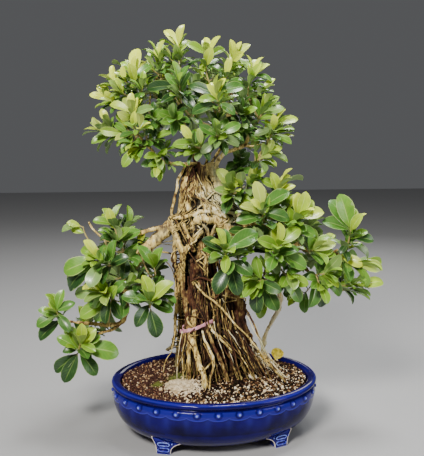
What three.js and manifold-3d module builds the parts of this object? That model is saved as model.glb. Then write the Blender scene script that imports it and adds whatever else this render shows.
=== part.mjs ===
// A ficus bonsai in an oval glazed pot: pot, soil, wood grown in one piece, leafy sprays, tie, stones and
// fallen leaves. Millimetres, +Z up, X along the pot's long side, the origin under the middle on the surface
// that the pot stands on.

import * as THREE from 'three';
import { mergeVertices } from 'three/addons/utils/BufferGeometryUtils.js';
import Module from 'manifold-3d';

const wasm = await Module();
wasm.setup();

// Pot, whose middle lies a little right of the middle of the whole plant
const POT_RIGHT = 8;
const POT_HALF_LENGTH = 200;
const POT_HALF_DEPTH = 163;
const POT_FLOOR = 20;
const STUDS = 30;
const STUD_HEIGHT = 87;
const STUD_RISE = 4.5;
const STUD_PHASE = 0.07;
const FOOT_ACROSS = 107;
const FOOT_DEEP = 104;

// Soil
const SOIL_EDGE = 101;
const SOIL_MOUND = 15;
const SOIL_MOUND_REACH = 85;

// Seats and clearances
const SEAT = 0.3;
const SOIL_CLEAR = 1.1;
const LEAF_GAP = 1.1;

// Places on the plant are given as across, up and back: a point of the upright plane through the middle, as seen
// from EYE, and how far behind that plane the place lies on the same line of sight. The pot is turned by TURN.
const EYE = { across: -5, up: 569, away: 1324 };
const TURN = THREE.MathUtils.degToRad(8);

// Profile of the pot from the underside of its base out to the lip: inset from the widest oval, height
const POT_OUTSIDE = [
  [66, 8], [45, 12.5], [25, 25], [12, 41], [4.5, 62], [3.5, 90], [6.5, 94.5], [1.2, 98], [0, 101.5], [3, 105.5],
  [8.5, 107], [14, 105.5], [17, 102],
];
const POT_INSIDE = [[18, 96], [22, 56], [60, POT_FLOOR]];
const POT_SIDES = 28;

// Trunk core: across, up, back, half width, half depth
const CORE = [
  [-34, 514, 4, 21, 19], [-37, 486, 2, 27, 22], [-32, 462, 0, 35, 24], [-24, 440, 0, 44, 26],
  [-24, 418, 0, 47, 27], [-30, 394, 0, 40, 25], [-42, 366, 4, 24, 21], [-44, 335, 6, 17, 18],
  [-42, 300, 8, 16, 18], [-36, 262, 10, 19, 21], [-26, 225, 12, 25, 25], [-12, 185, 14, 32, 32],
  [-4, 145, 16, 38, 36], [-2, 100, 18, 40, 38],
];

const CORE_SIDES = 8;

// Thicknesses above which a root or branch has one side more than three
const SIDE_STEPS = [3.1, 7, 10];

// Aerial and surface roots and the ridges of old ones: thickness at the top and at the foot, then their route
const ROOTS = [
  [3, 2.6, [[-56, 512, -8], [-66, 492, -12], [-73, 468, -12], [-77, 446, -12], [-81, 428, -12], [-80, 408, -12]]],
  [6.5, 6, [[-86, 404, -12], [-77, 388, -20], [-70, 370, -27], [-64, 354, -30], [-62, 335, -30]]],
  [4.5, 5, [[-22, 394, -30], [-34, 380, -33], [-46, 365, -34], [-57, 350, -31], [-62, 335, -30]]],
  [6, 5, [[-62, 338, -28], [-63, 310, -26], [-61, 280, -26], [-57, 250, -30], [-52, 222, -34], [-50, 200, -38]]],
  [4, 3.5, [[-77, 392, -7], [-76, 340, -8], [-73, 300, -8], [-74, 260, -10], [-76, 220, -10], [-77, 192, -6],
    [-80, 174, 6], [-83, 163, 22], [-94, 156, 44]]],
  [4, 4, [[-50, 342, -4], [-69, 312, -16], [-69, 280, -14], [-67, 240, -6], [-65, 205, 4],
    [-67, 175, 14], [-70, 150, 26], [-72, 114, 40]]],
  [3, 3, [[-44, 226, -12], [-54, 212, -30], [-60, 180, -30], [-61, 160, -22], [-61, 138, -12], [-60, 104, -2]]],
  [5, 4.5, [[-50, 212, -36], [-49, 190, -42], [-49, 168, -44], [-50, 146, -43], [-49, 120, -41], [-48, 92, -38]]],
  [5.5, 7, [[-38, 232, -34], [-41, 205, -40], [-42, 180, -46], [-39, 158, -52], [-32, 134, -58], [-25, 112, -64],
    [-20, 88, -70], [-18, 66, -72]]],
  [5, 4.5, [[-12, 352, -26], [-17, 330, -24], [-19, 302, -20], [-18, 272, -20], [-15, 245, -24]]],
  [6.5, 7, [[-4, 296, -10], [-2, 268, -16], [2, 240, -20], [5, 212, -20], [5, 185, -16], [0, 160, -14]]],
  [5, 5, [[24, 292, 4], [18, 262, 2], [16, 240, 0], [18, 218, -2], [14, 196, -4], [10, 168, -6]]],
  [11, 12, [[22, 262, 10], [34, 266, 6], [46, 256, 4], [50, 238, 4], [44, 220, 6], [34, 204, 10]]],
  [2.6, 2.4, [[-40, 292, -30], [-24, 270, -40], [-6, 256, -42], [12, 240, -40], [28, 222, -38], [43, 205, -36],
    [58, 190, -34], [72, 174, -30], [84, 158, -26], [96, 142, -22], [104, 128, -19],
    [120, 112, -18], [138, 92, -22]]],
  [1.9, 1.5, [[58, 240, 0], [70, 220, -6], [80, 200, -10], [86, 180, -12], [94, 158, -14], [104, 138, -18],
    [118, 114, -26], [136, 96, -32], [146, 78, -34]]],
  [5, 3.6, [[118, 300, 40], [124, 276, 46], [127, 254, 52], [122, 233, 58], [112, 214, 66], [103, 198, 76],
    [98, 182, 88], [95, 164, 98], [93, 146, 104], [92, 126, 106]]],
  [2.5, 2, [[-14, 212, -36], [-4, 194, -42], [12, 176, -40], [28, 160, -34], [42, 146, -24], [54, 130, -14],
    [62, 104, -4]]],
  [3.2, 3.8, [[-18, 210, -34], [-10, 184, -46], [0, 160, -50], [11, 136, -52], [20, 112, -50], [27, 88, -48],
    [30, 66, -48]]],
  [2.8, 2.4, [[-24, 224, -4], [-22, 186, -44], [-13, 164, -54], [-3, 144, -56], [-2, 122, -58], [-11, 98, -60],
    [-16, 72, -62]]],
  [5, 4, [[6, 232, 0], [26, 218, -6], [34, 196, -10], [44, 174, -10], [56, 154, -4], [68, 136, 6], [76, 108, 18]]],
  [5, 4.5, [[12, 206, -14], [22, 182, -22], [29, 160, -28], [32, 138, -26], [34, 104, -18]]],
  [8, 6, [[48, 214, 8], [60, 192, 14], [70, 172, 30], [80, 154, 52], [88, 124, 82]]],
  [4.2, 4.2, [[-84, 416, -12], [-64, 416, -24], [-44, 421, -31], [-24, 428, -33], [-4, 427, -32], [14, 420, -29],
    [32, 408, -22]]],
  [4, 3.4, [[-30, 520, -16], [-31, 502, -20], [-34, 480, -24], [-40, 458, -28]]],
  [8, 8, [[-52, 470, -16], [-34, 454, -24], [-14, 440, -28], [6, 428, -26]]],
  [14, 12, [[4, 446, -4], [22, 434, -8], [38, 420, -8], [46, 412, -6]]],
  [12, 10, [[-8, 416, -22], [10, 406, -22], [26, 396, -18], [36, 388, -12]]],
  [8, 7, [[-36, 408, -28], [-22, 414, -30], [-6, 410, -30]]],
  [3.6, 3.2, [[-22, 404, -32], [-14, 390, -32], [-9, 374, -26], [-13, 352, -24]]],
  [3, 3, [[2, 402, -30], [-4, 388, -30], [-9, 374, -26]]],
  [4.4, 4, [[-60, 408, -24], [-54, 388, -28], [-46, 372, -30], [-40, 350, -30]]],
  [9, 8, [[-30, 372, -18], [-27, 350, -20], [-32, 326, -20], [-36, 300, -18]]],
  [5.5, 6, [[-44, 335, -26], [-42, 305, -28], [-46, 275, -28], [-42, 246, -30], [-34, 222, -32]]],
  [6, 6, [[-28, 300, -24], [-31, 272, -26], [-27, 244, -30], [-16, 220, -32], [-7, 200, -32], [-4, 178, -30]]],
  [12, 11, [[-6, 516, 4], [0, 494, 2], [6, 472, 0], [16, 452, -2], [28, 438, -2]]],
  [6, 6, [[-56, 466, 16], [-64, 420, 24], [-58, 350, 32], [-62, 270, 38], [-68, 180, 48],
    [-76, 104, 56]]],
  [6, 5.5, [[-20, 460, 22], [-18, 400, 30], [-26, 320, 36], [-14, 240, 48], [2, 170, 58], [12, 110, 64]]],
  [5.5, 5, [[10, 440, 18], [4, 380, 28], [-6, 310, 32], [22, 230, 44], [54, 164, 54], [72, 112, 58]]],
  [5, 4.5, [[-40, 430, 22], [-42, 350, 32], [-42, 270, 40], [-36, 190, 56], [-32, 120, 68]]],
];

// Branches, each from the wood that carries it out to its end: thickness at both ends, route
const BRANCHES = [
  [6.5, 3, [[-14, 510, -4], [-42, 517, -10], [-70, 518, -14], [-94, 521, -18], [-107, 532, -22], [-121, 547, -26],
    [-134, 561, -30], [-147, 578, -32]]],
  [8, 3, [[-6, 500, -2], [1, 513, -6], [9, 528, -10], [22, 539, -13], [40, 545, -15], [55, 552, -15],
    [64, 568, -12], [69, 584, -8], [80, 597, -4], [88, 608, -2]]],
  [4, 2.6, [[54, 551, -15], [70, 550, -18], [84, 553, -20], [92, 558, -22]]],
  [3.4, 2, [[2, 508, 0], [22, 506, 3], [42, 501, 4], [60, 507, 0], [74, 517, -8], [84, 526, -16]]],
  [5.5, 3, [[-32, 512, 8], [-43, 542, 8], [-53, 575, 4], [-60, 606, -6], [-63, 642, -14],
    [-62, 676, -6]]],
  [5, 2.6, [[-22, 506, 6], [-9, 540, 4], [-4, 562, -8], [2, 590, -14], [1, 618, -16],
    [-10, 652, -12]]],
  [5, 3, [[-30, 510, 12], [-42, 540, 38], [-52, 578, 62], [-62, 616, 74], [-66, 650, 70]]],
  [5, 3, [[-22, 502, 9], [6, 536, 36], [24, 572, 54], [30, 612, 58], [30, 648, 44]]],
  [3.8, 2.4, [[-92, 521, -18], [-102, 552, -6], [-112, 588, 4], [-120, 622, 8], [-118, 656, 8], [-106, 680, 6]]],
  [13, 7, [[-52, 404, -6], [-84, 396, -8], [-105, 378, -10], [-124, 361, -10], [-143, 343, -10], [-157, 322, -8],
    [-168, 296, -6], [-172, 264, -6], [-171, 232, -8]]],
  [5.5, 3, [[-171, 236, -8], [-178, 214, -10], [-200, 206, -12], [-232, 207, -14], [-262, 210, -16],
    [-286, 214, -16]]],
  [3, 2, [[-176, 214, -10], [-194, 201, -12], [-212, 192, -14], [-228, 187, -15], [-248, 172, -16]]],
  [5.5, 2.4, [[-60, 408, -6], [-88, 400, -12], [-118, 393, -16], [-148, 385, -20], [-170, 383, -24],
    [-182, 389, -26]]],
  [2.4, 1.7, [[-158, 384, -20], [-184, 373, -24], [-202, 369, -26], [-218, 380, -28], [-231, 392, -30],
    [-240, 407, -30]]],
  [6.5, 2.6, [[18, 440, -6], [32, 455, -12], [46, 468, -16], [57, 476, -18]]],
  [10, 3.4, [[30, 414, -2], [56, 406, 6], [84, 398, 8], [110, 400, 2], [128, 403, -6], [138, 404, -12]]],
  [6, 2.8, [[66, 402, 8], [96, 386, 18], [130, 368, 20], [164, 357, 10], [196, 350, 6], [226, 347, 4],
    [242, 340, 2]]],
  [4.4, 2.4, [[128, 368, 20], [150, 342, 18], [172, 320, 8], [196, 300, 2], [222, 288, 0], [240, 279, -2]]],
  [4, 2.6, [[84, 398, 8], [98, 378, -6], [108, 364, -22], [113, 356, -32]]],
  [4.4, 2.6, [[60, 404, 6], [52, 382, -14], [38, 360, -34], [28, 346, -48]]],
  [3.6, 2.2, [[98, 378, -6], [100, 345, -14], [98, 318, -24], [94, 302, -32]]],
  [3.4, 2.2, [[226, 347, 4], [236, 354, 0]]],
  [5, 3, [[84, 398, 8], [112, 394, 44], [142, 378, 72], [168, 356, 84]]],
  [5, 3, [[-105, 378, -10], [-130, 364, 26], [-152, 340, 56], [-166, 312, 72]]],
  [4.5, 2.6, [[100, 396, 24], [112, 360, 38], [118, 328, 40], [118, 300, 40]]],
];

// Leafy shoots: where the leaves meet (across, up, back), how young they are (0 old and dark, 1 young and pale),
// the row of the shoot that it forks from (-1 for a branch), and the leaf tips: across, up, how much nearer than
// the meeting place, and how squarely the blade faces the viewing point
const SHOOTS = [
  [[-62, 706, 0], 0.95, -1, [[-57, 773, 14], [-92, 764, -14], [-73, 737, 34], [-101, 745, -8, 0],
    [-97, 716, 10, 0], [-47, 746, -16], [-28, 690, 6, 0.2]]],
  [[-16, 697, -10], 0.85, -1, [[-52, 739, 6], [-17, 748, -14], [9, 753, 6, 0.35], [-6, 732, 28],
    [19, 730, -20], [-52, 694, 8, 0.15], [12, 689, 12]]],
  [[27, 690, -5], 0.85, -1, [[65, 738, 4], [30, 746, -12], [16, 748, 4, 0.2], [52, 723, 26],
    [12, 713, 16, 0], [56, 704, -14], [45, 684, 12]]],
  [[-102, 688, 5], 0.6, -1, [[-107, 733, -8], [-91, 738, -12], [-125, 727, 4, 0], [-128, 706, 22],
    [-80, 706, 6]]],
  [[-148, 655, -20], 0.8, -1, [[-143, 731, -14], [-172, 707, -6], [-158, 702, 26], [-117, 700, 16],
    [-131, 709, 10, 0.2], [-187, 706, -8, 0]]],
  [[-168, 646, -8], 0.75, 4, [[-220, 661, 4, 0.15], [-191, 689, -14], [-196, 672, 20], [-207, 680, -10, 0]]],
  [[-192, 630, -2], 0.8, 5, [[-233, 647, 6], [-214, 666, -14], [-204, 652, 26], [-224, 623, 8, 0.1]]],
  [[-152, 588, -45], 0.9, -1, [[-181, 613, 34, 0.9], [-196, 629, -4], [-168, 642, -12], [-144, 641, 8],
    [-114, 622, 10], [-150, 615, 28]]],
  [[-160, 574, -30], 0.5, -1, [[-215, 581, 10], [-187, 563, 24], [-175, 538, 14]]],
  [[-198, 572, -14], 0.6, 8, [[-229, 604, 8], [-248, 573, -14, 0], [-232, 557, 12], [-221, 541, -4, 0],
    [-204, 537, -12, 0], [-206, 612, -16, 0.1]]],
  [[-132, 549, -38], 0.55, -1, [[-174, 512, 14], [-147, 521, 20], [-163, 545, -6], [-116, 556, 16]]],
  [[-106, 530, -34], 0.45, -1, [[-119, 509, 14], [-96, 505, 6], [-90, 546, 16]]],
  [[-64, 648, -45], 0.2, -1, [[-91, 685, 10], [-48, 690, -6], [-127, 657, 4], [-99, 633, 22], [-25, 641, 14],
    [-61, 687, 12, 0.25], [-38, 622, 26]]],
  [[8, 624, -70], 0.75, -1, [[19, 677, 8], [-14, 665, 12], [54, 662, 6], [-47, 664, 0], [-43, 612, 18],
    [-30, 636, 24], [38, 610, 20]]],
  [[62, 657, -15], 0.65, -1, [[85, 703, 14], [52, 712, -10], [108, 670, 6, 0.3], [101, 703, -8, 0.3],
    [28, 672, 12], [80, 708, -14, 0], [104, 653, 10, 0.2], [66, 695, 24]]],
  [[90, 614, -20], 0.4, -1, [[94, 649, 10], [119, 644, -8], [129, 622, 8], [72, 640, 14], [113, 606, 16]]],
  [[108, 575, -26], 0.75, -1, [[110, 609, 24], [156, 603, -4], [145, 556, 8], [150, 580, 12, 0.3],
    [74, 571, 10, 0.4], [96, 600, -12]]],
  [[90, 531, -25], 0.6, -1, [[127, 549, 8], [106, 532, 24], [139, 522, -8, 0.1], [74, 540, 14],
    [114, 511, -4, 0.1]]],
  [[6, 568, -62], 0.35, -1, [[49, 592, 8], [46, 551, 16], [1, 547, 26], [-26, 538, 10], [-29, 589, 8],
    [22, 569, 28]]],
  [[-34, 549, -60], 0.5, -1, [[-62, 590, 14], [-24, 588, 10], [-79, 554, 8], [-58, 534, 14], [-34, 524, 22]]],
  [[-112, 602, -40], 0.15, -1, [[-84, 600, 6], [-98, 622, 12], [-128, 572, 20], [-126, 596, 26]]],
  [[-116, 562, -40], 0.15, 20, [[-80, 577, 14], [-93, 545, 20], [-104, 592, 10]]],
  [[-76, 600, -50], 0.1, -1, [[-105, 614, 10], [-99, 594, 22], [-56, 575, 14], [-60, 612, 24], [-78, 571, 18]]],
  [[48, 612, -30], 0.1, -1, [[78, 622, 10], [32, 596, 12], [62, 584, 14], [50, 645, 0]]],
  [[40, 575, -22], 0.1, 23, [[70, 580, 12], [26, 574, 10], [50, 560, 16]]],
  [[42, 526, 6], 0.1, -1, [[64, 520, 10], [24, 520, 12], [46, 508, 14], [66, 538, 6]]],
  [[-190, 393, -30], 0.7, -1, [[-202, 433, 12], [-178, 442, -6, 0.3], [-232, 410, 10], [-213, 424, -12],
    [-222, 391, 16], [-163, 422, 6, 0.3]]],
  [[-184, 368, -38], 0.3, -1, [[-218, 378, 8], [-163, 396, 12], [-142, 391, -10]]],
  [[-203, 322, -55], 0.75, -1, [[-292, 311, 4], [-247, 350, 20], [-262, 297, 14], [-284, 276, -10],
    [-242, 281, 22], [-191, 372, 8], [-255, 358, -12], [-251, 337, 30], [-216, 287, 30], [-166, 340, 14]]],
  [[-251, 397, -28], 0.8, 28, [[-282, 406, 6, 0.3], [-292, 389, 10], [-274, 396, -6]],
    [[-203, 322, -55], [-210, 342, -42], [-226, 357, -32], [-240, 371, -30], [-248, 386, -28]]],
  [[-204, 268, -45], 0.6, -1, [[-271, 268, 12], [-262, 221, 4], [-232, 213, 8], [-181, 217, 14],
    [-190, 282, 26], [-172, 293, 4], [-233, 239, 16, 0.2]]],
  [[-300, 221, -20], 0.7, -1, [[-292, 276, 6], [-342, 237, 8], [-347, 203, 12], [-343, 176, 4],
    [-282, 192, 28], [-270, 250, 10]]],
  [[-266, 150, -22], 0.6, -1, [[-307, 182, 8], [-232, 199, 10], [-186, 148, -4], [-314, 111, 6],
    [-296, 89, 14], [-231, 104, 8], [-233, 153, 32], [-297, 152, 16], [-222, 184, -8]]],
  [[-114, 304, -35], 0.2, -1, [[-101, 358, 12], [-145, 362, 6], [-127, 345, 18]]],
  [[-125, 241, -55], 0.45, 33, [[-180, 263, 10], [-138, 304, 12], [-80, 291, 8], [-153, 202, 16],
    [-111, 180, 10], [-80, 233, -6]]],
  [[-165, 335, -28], 0.15, -1, [[-147, 365, 10], [-140, 332, 16], [-176, 296, 20]]],
  [[34, 464, -26], 0.65, -1, [[5, 508, 10], [0, 470, 12], [48, 492, 6, 0.4]]],
  [[68, 481, -24], 0.65, 36, [[71, 512, 10], [99, 509, 6], [60, 494, 20]]],
  [[93, 414, -40], 0.55, -1, [[77, 485, 12], [99, 463, 20], [141, 466, 8], [50, 458, 10], [41, 408, 14],
    [143, 412, 10], [48, 438, 16], [69, 449, 26]]],
  [[117, 452, -18], 0.75, 38, [[107, 501, 14], [141, 498, 4], [88, 487, 10], [152, 478, 8, 0.3],
    [166, 490, -10, 0]]],
  [[148, 405, -25], 0.6, -1, [[157, 463, 16], [187, 449, -4], [208, 428, 6], [142, 435, 20], [193, 381, 10],
    [176, 392, 24]]],
  [[22, 338, -62], 0.65, -1, [[-24, 375, 12], [19, 394, 10], [83, 387, 8], [73, 306, 16], [2, 267, 14],
    [46, 264, 10], [20, 309, 38, 0.9], [-13, 332, -12]]],
  [[92, 294, -42], 0.45, -1, [[79, 341, 14], [82, 228, 16], [122, 234, 8], [129, 272, 34], [68, 267, 4],
    [49, 293, -12]]],
  [[118, 350, -45], 0.55, -1, [[118, 404, 14], [83, 374, 18], [163, 396, 6], [161, 353, 16], [177, 318, 8],
    [97, 336, 20], [119, 310, 14]]],
  [[200, 306, -20], 0.4, -1, [[242, 343, 14], [247, 309, 6], [244, 263, 10], [184, 240, 12], [208, 240, -4],
    [172, 302, 18]]],
  [[138, 304, -38], 0.4, 43, [[181, 285, 14], [166, 250, 18], [116, 303, 10]]],
  [[186, 352, -22], 0.5, -1, [[232, 366, 10], [181, 376, 18], [207, 326, 16], [226, 345, -6]]],
  [[255, 365, -10], 0.7, -1, [[205, 409, 14], [219, 450, -4, 0.5], [238, 461, 4], [281, 422, 16],
    [305, 372, 8], [258, 438, -14], [296, 337, 6, 0.3], [262, 390, 26], [292, 390, 10], [240, 345, 14]]],
  [[250, 327, -8], 0.5, 47, [[323, 318, 6], [284, 322, 16], [294, 279, 10], [322, 332, -6, 0.2],
    [262, 292, 14]]],
  [[250, 274, -5], 0.55, 48, [[304, 225, 6, 0.3], [274, 290, 14], [253, 213, 10], [326, 292, -6, 0.4],
    [296, 309, -10, 0.3]]],
  [[62, 396, -30], 0.15, -1, [[54, 366, 12], [96, 381, 10], [43, 378, 16]]],
];

// Shoots round the back of the crown and of the two lower masses, whose leaves follow the rule of the spiral:
// where the leaves meet, how young they are, the shoot that it forks from (-1 for a branch), leaves
const BACK_SHOOTS = [
  [[-66, 668, 92], 0.7, -1, 4], [[-110, 640, 84], 0.5, 51, 4], [[-20, 650, 96], 0.6, 51, 4],
  [[30, 662, 66], 0.6, -1, 4], [[66, 606, 84], 0.4, 54, 4], [[-140, 600, 62], 0.5, -1, 4],
  [[-92, 584, 104], 0.4, -1, 4], [[-34, 600, 122], 0.5, -1, 4], [[12, 592, 108], 0.4, 58, 4],
  [[40, 552, 76], 0.3, -1, 4], [[-186, 366, 66], 0.4, -1, 4], [[-148, 330, 104], 0.4, -1, 4],
  [[-190, 296, 84], 0.5, 62, 4], [[-206, 240, 44], 0.4, -1, 4], [[166, 392, 96], 0.4, -1, 4],
  [[196, 356, 108], 0.5, 65, 4], [[214, 316, 60], 0.5, 66, 4], [[120, 416, 66], 0.4, -1, 4],
];

// Soft tie round the front roots: its line, height and thickness
const TIE = [
  [-67, 193, -20], [-61, 193, -32], [-54, 194, -44.5], [-48, 195, -47], [-41, 197, -48], [-33, 200, -45.5],
  [-18, 207, -39.5], [-10, 211, -40.5], [-4, 213, -36],
];
const TIE_HEIGHT = 5;
const TIE_THICK = 1.4;

// Stones on the soil: place as seen, half sizes, how far they stand out of the soil
const WHITE_STONE = { at: [-72, 84, -56], half: [27, 31, 9], out: 5 };
const PEBBLE = { at: [75, 90, -22], half: [8, 7, 6], out: 6 };

// Yellow leaves that lean on the soil: foot and tip as seen, half width against length
const FALLEN_LEAVES = [
  { foot: [121, 135.5, 104], tip: [123, 158.5, 108], width: 0.5 },
  { foot: [111, 134.5, 88], tip: [88, 142.5, 91], width: 0.34 },
];

// Leaves
const LEAF_OUTLINE = [[0.42, 0.86], [0.8, 0.94]];
const LEAF_MIDRIB = 0.55;
const LEAF_WIDTH = 0.235;
const LEAF_THICK = 1.4;
const LEAFY_LENGTH = 17;
const MOST_LEAVES = 6;
const STEM_SIDES = 3;
const STEM_THICK = 2.3;
const STEM_THIN = 1.5;
const SEAT_STEP = 6;
const SEAT_TRIES = 40;
const LEAF_FOLD = 0.16;
const LEAF_ARCH = 0.1;
const NEARER = [0, 9, -9, 18, -18, 27, -27, 36, -36, 46, -46];
const GOLDEN_ANGLE = THREE.MathUtils.degToRad(137.5);

const V = (x, y, z) => new THREE.Vector3(x, y, z);
const mix = (a, b, t) => a + (b - a) * t;

/** A repeatable source of random numbers between 0 and 1. */
function randomSource(seed) {
  let state = seed >>> 0;
  return () => {
    state = (state + 0x6d2b79f5) >>> 0;
    let word = Math.imul(state ^ (state >>> 15), 1 | state);
    word = (word + Math.imul(word ^ (word >>> 7), 61 | word)) ^ word;
    return ((word ^ (word >>> 14)) >>> 0) / 4294967296;
  };
}

/** The place that is seen at (across, up) and lies a given distance behind the middle plane. */
function sight([across, up, back = 0]) {
  const share = back / EYE.away;
  const x = across + (across - EYE.across) * share;
  const z = up + (up - EYE.up) * share;
  return V(x * Math.cos(TURN) + back * Math.sin(TURN), -x * Math.sin(TURN) + back * Math.cos(TURN), z);
}

const EYE_POINT = V(
  EYE.across * Math.cos(TURN) - EYE.away * Math.sin(TURN),
  -EYE.across * Math.sin(TURN) - EYE.away * Math.cos(TURN),
  EYE.up,
);

/** A closed solid from its corners and triangles. */
function solid(points, faces) {
  const vertProperties = new Float32Array(points.flatMap((point) => [point.x, point.y, point.z]));
  const triVerts = new Uint32Array(faces.flat());
  return new wasm.Manifold(new wasm.Mesh({ numProp: 3, vertProperties, triVerts }));
}

/** The join of several solids, made in pairs. */
function joined(solids) {
  let list = [...solids];
  while (list.length > 1) {
    const next = [];
    for (let i = 0; i < list.length; i += 2) {
      next.push(i + 1 < list.length ? list[i].add(list[i + 1]) : list[i]);
    }
    list = next;
  }
  return list[0];
}

/** A closed solid through rings of equally many points, capped flat at both ends. */
function loft(rings) {
  const count = rings[0].length;
  const faces = [];
  for (let k = 0; k + 1 < rings.length; k += 1) {
    for (let i = 0; i < count; i += 1) {
      const a = k * count + i;
      const b = k * count + ((i + 1) % count);
      faces.push([a, b, b + count], [a, b + count, a + count]);
    }
  }
  const last = (rings.length - 1) * count;
  for (let i = 1; i + 1 < count; i += 1) {
    faces.push([0, i + 1, i], [last, last + i, last + i + 1]);
  }
  return solid(rings.flat(), faces);
}

/** A smooth line through the given points, with a number of steps between each two. */
function smooth(points, steps) {
  const line = [];
  for (let k = 0; k + 1 < points.length; k += 1) {
    const before = points[Math.max(k - 1, 0)];
    const after = points[Math.min(k + 2, points.length - 1)];
    for (let i = 0; i < steps; i += 1) {
      const t = i / steps;
      const out = points[k + 1].clone().sub(before).multiplyScalar(0.5);
      const into = after.clone().sub(points[k]).multiplyScalar(0.5);
      line.push(
        points[k].clone().multiplyScalar(2 * t ** 3 - 3 * t ** 2 + 1)
          .addScaledVector(out, t ** 3 - 2 * t ** 2 + t)
          .addScaledVector(points[k + 1], -2 * t ** 3 + 3 * t ** 2)
          .addScaledVector(into, t ** 3 - t ** 2),
      );
    }
  }
  line.push(points[points.length - 1].clone());
  return line;
}

/** The rings of a round bar along a line, each square to the line. */
function barRings(line, radii, sides) {
  const rings = [];
  let side = null;
  for (let k = 0; k < line.length; k += 1) {
    const ahead = line[Math.min(k + 1, line.length - 1)].clone().sub(line[Math.max(k - 1, 0)]).normalize();
    if (side === null) {
      side = Math.abs(ahead.z) < 0.9 ? V(0, 0, 1).cross(ahead) : V(1, 0, 0).cross(ahead);
    }
    side.addScaledVector(ahead, -side.dot(ahead)).normalize();
    const up = ahead.clone().cross(side);
    const ring = [];
    for (let i = 0; i < sides; i += 1) {
      const turn = (2 * Math.PI * i) / sides;
      ring.push(line[k].clone()
        .addScaledVector(side, radii[k] * Math.cos(turn))
        .addScaledVector(up, radii[k] * Math.sin(turn)));
    }
    rings.push(ring);
  }
  return rings;
}

const bar = (line, radii, sides) => loft(barRings(line, radii, sides));

/** Radii that run evenly from one end of a line to the other. */
const taper = (line, from, to, more = 0) => line.map((_, k) => mix(from, to, k / (line.length - 1)) + more);

/** Short straight lengths of a line with their radii, for tests of clearance. */
function lengths(line, radii) {
  return line.slice(1).map((end, k) => ({
    line,
    points: [line[k], end],
    radius: Math.max(radii[k], radii[k + 1]),
    axes: [end.clone().sub(line[k]).normalize()],
    middle: line[k].clone().add(end).multiplyScalar(0.5),
    reach: end.distanceTo(line[k]) / 2 + Math.max(radii[k], radii[k + 1]),
  }));
}

/** Whether some direction shows a gap of the given width between two bodies. */
function apart(a, b, gap) {
  const between = b.middle.clone().sub(a.middle);
  const wide = gap + a.radius + b.radius;
  if (between.length() > a.reach + b.reach + gap) {
    return true;
  }
  const tries = [between, ...a.axes, ...b.axes];
  for (const one of a.axes) {
    for (const two of b.axes) {
      tries.push(one.clone().cross(two));
    }
    tries.push(one.clone().cross(between).cross(one));
  }
  for (const two of b.axes) {
    tries.push(two.clone().cross(between).cross(two));
  }
  for (const direction of tries) {
    const size = direction.length();
    if (size < 1e-6) {
      continue;
    }
    const first = a.points.map((point) => point.dot(direction) / size);
    const second = b.points.map((point) => point.dot(direction) / size);
    if (Math.min(...second) - Math.max(...first) > wide || Math.min(...first) - Math.max(...second) > wide) {
      return true;
    }
  }
  return false;
}

/** The corners of a blade from its foot to its tip, its face turned along a given direction. */
function blade(foot, tip, facing, widthShare) {
  const along = tip.clone().sub(foot);
  const length = along.length();
  along.normalize();
  const face = facing.clone().addScaledVector(along, -facing.dot(along)).normalize();
  const side = along.clone().cross(face);
  const at = (t, w, lift) => foot.clone()
    .addScaledVector(along, length * t)
    .addScaledVector(side, length * widthShare * w)
    .addScaledVector(face, length * (LEAF_ARCH * 4 * t * (1 - t) * 0.5 + LEAF_FOLD * widthShare * Math.abs(w)) + lift);
  const outline = [at(0, 0, 0)];
  LEAF_OUTLINE.forEach(([t, w]) => outline.push(at(t, w, 0)));
  outline.push(at(1, 0, 0));
  [...LEAF_OUTLINE].reverse().forEach(([t, w]) => outline.push(at(t, -w, 0)));
  return { outline, upper: at(LEAF_MIDRIB, 0, 0), lower: at(LEAF_MIDRIB, 0, -LEAF_THICK), along, face, side };
}

/** The closed solid of a blade: both faces split into the same triangles. */
function bladeSolid({ outline, upper, lower }) {
  const count = outline.length;
  const faces = outline.flatMap((_, i) => {
    const next = (i + 1) % count;
    return [[i, next, count], [next, i, count + 1]];
  });
  return solid([...outline, upper, lower], faces);
}

/** What a blade, or its outer part alone, takes up, for tests of clearance. */
function bladeBody({ outline, upper, lower, along, face, side }, outerOnly) {
  const points = outerOnly ? [...outline.slice(1), upper, lower] : [...outline, upper, lower];
  const middle = V(0, 0, 0);
  points.forEach((point) => middle.addScaledVector(point, 1 / points.length));
  const reach = Math.max(...points.map((point) => point.distanceTo(middle)));
  return { points, radius: 0, axes: [along, face, side], middle, reach };
}

// The wood's lines, and how far they reach

const sidesOf = (thickness) => 3 + SIDE_STEPS.filter((step) => thickness > step).length;
const woodLines = [];
ROOTS.forEach(([from, to, route]) => {
  const line = smooth(route.map(sight), 1);
  woodLines.push({ line, radii: taper(line, from, to), sides: sidesOf(from), carries: false });
});
BRANCHES.forEach(([from, to, route]) => {
  const line = smooth(route.map(sight), 1);
  woodLines.push({ line, radii: taper(line, from, to), sides: sidesOf(from), carries: true });
});
const coreLine = CORE.map((ring) => sight(ring));
const coreRadii = CORE.map(([, , , wide]) => wide * 0.95);
const woodBodies = woodLines.flatMap(({ line, radii }) => lengths(line, radii)).concat(lengths(coreLine, coreRadii));

/** How far a bar's surface stands out from its middle in a given way, over the width of a stem. */
function wallHeight(ring, middle, ahead, out) {
  const across = ahead.clone().cross(out);
  const corners = ring.map((point) => {
    const reach = point.clone().sub(middle);
    return [reach.dot(across), reach.dot(out)];
  });
  let height = 0;
  corners.forEach(([u, h], i) => {
    const [v, g] = corners[(i + 1) % corners.length];
    [-STEM_THICK, STEM_THICK, u, v].forEach((place) => {
      const share = u === v ? 0 : (place - u) / (v - u);
      if (Math.abs(place) <= STEM_THICK && share >= 0 && share <= 1) {
        height = Math.max(height, mix(h, g, share));
      }
    });
  });
  return height;
}

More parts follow.
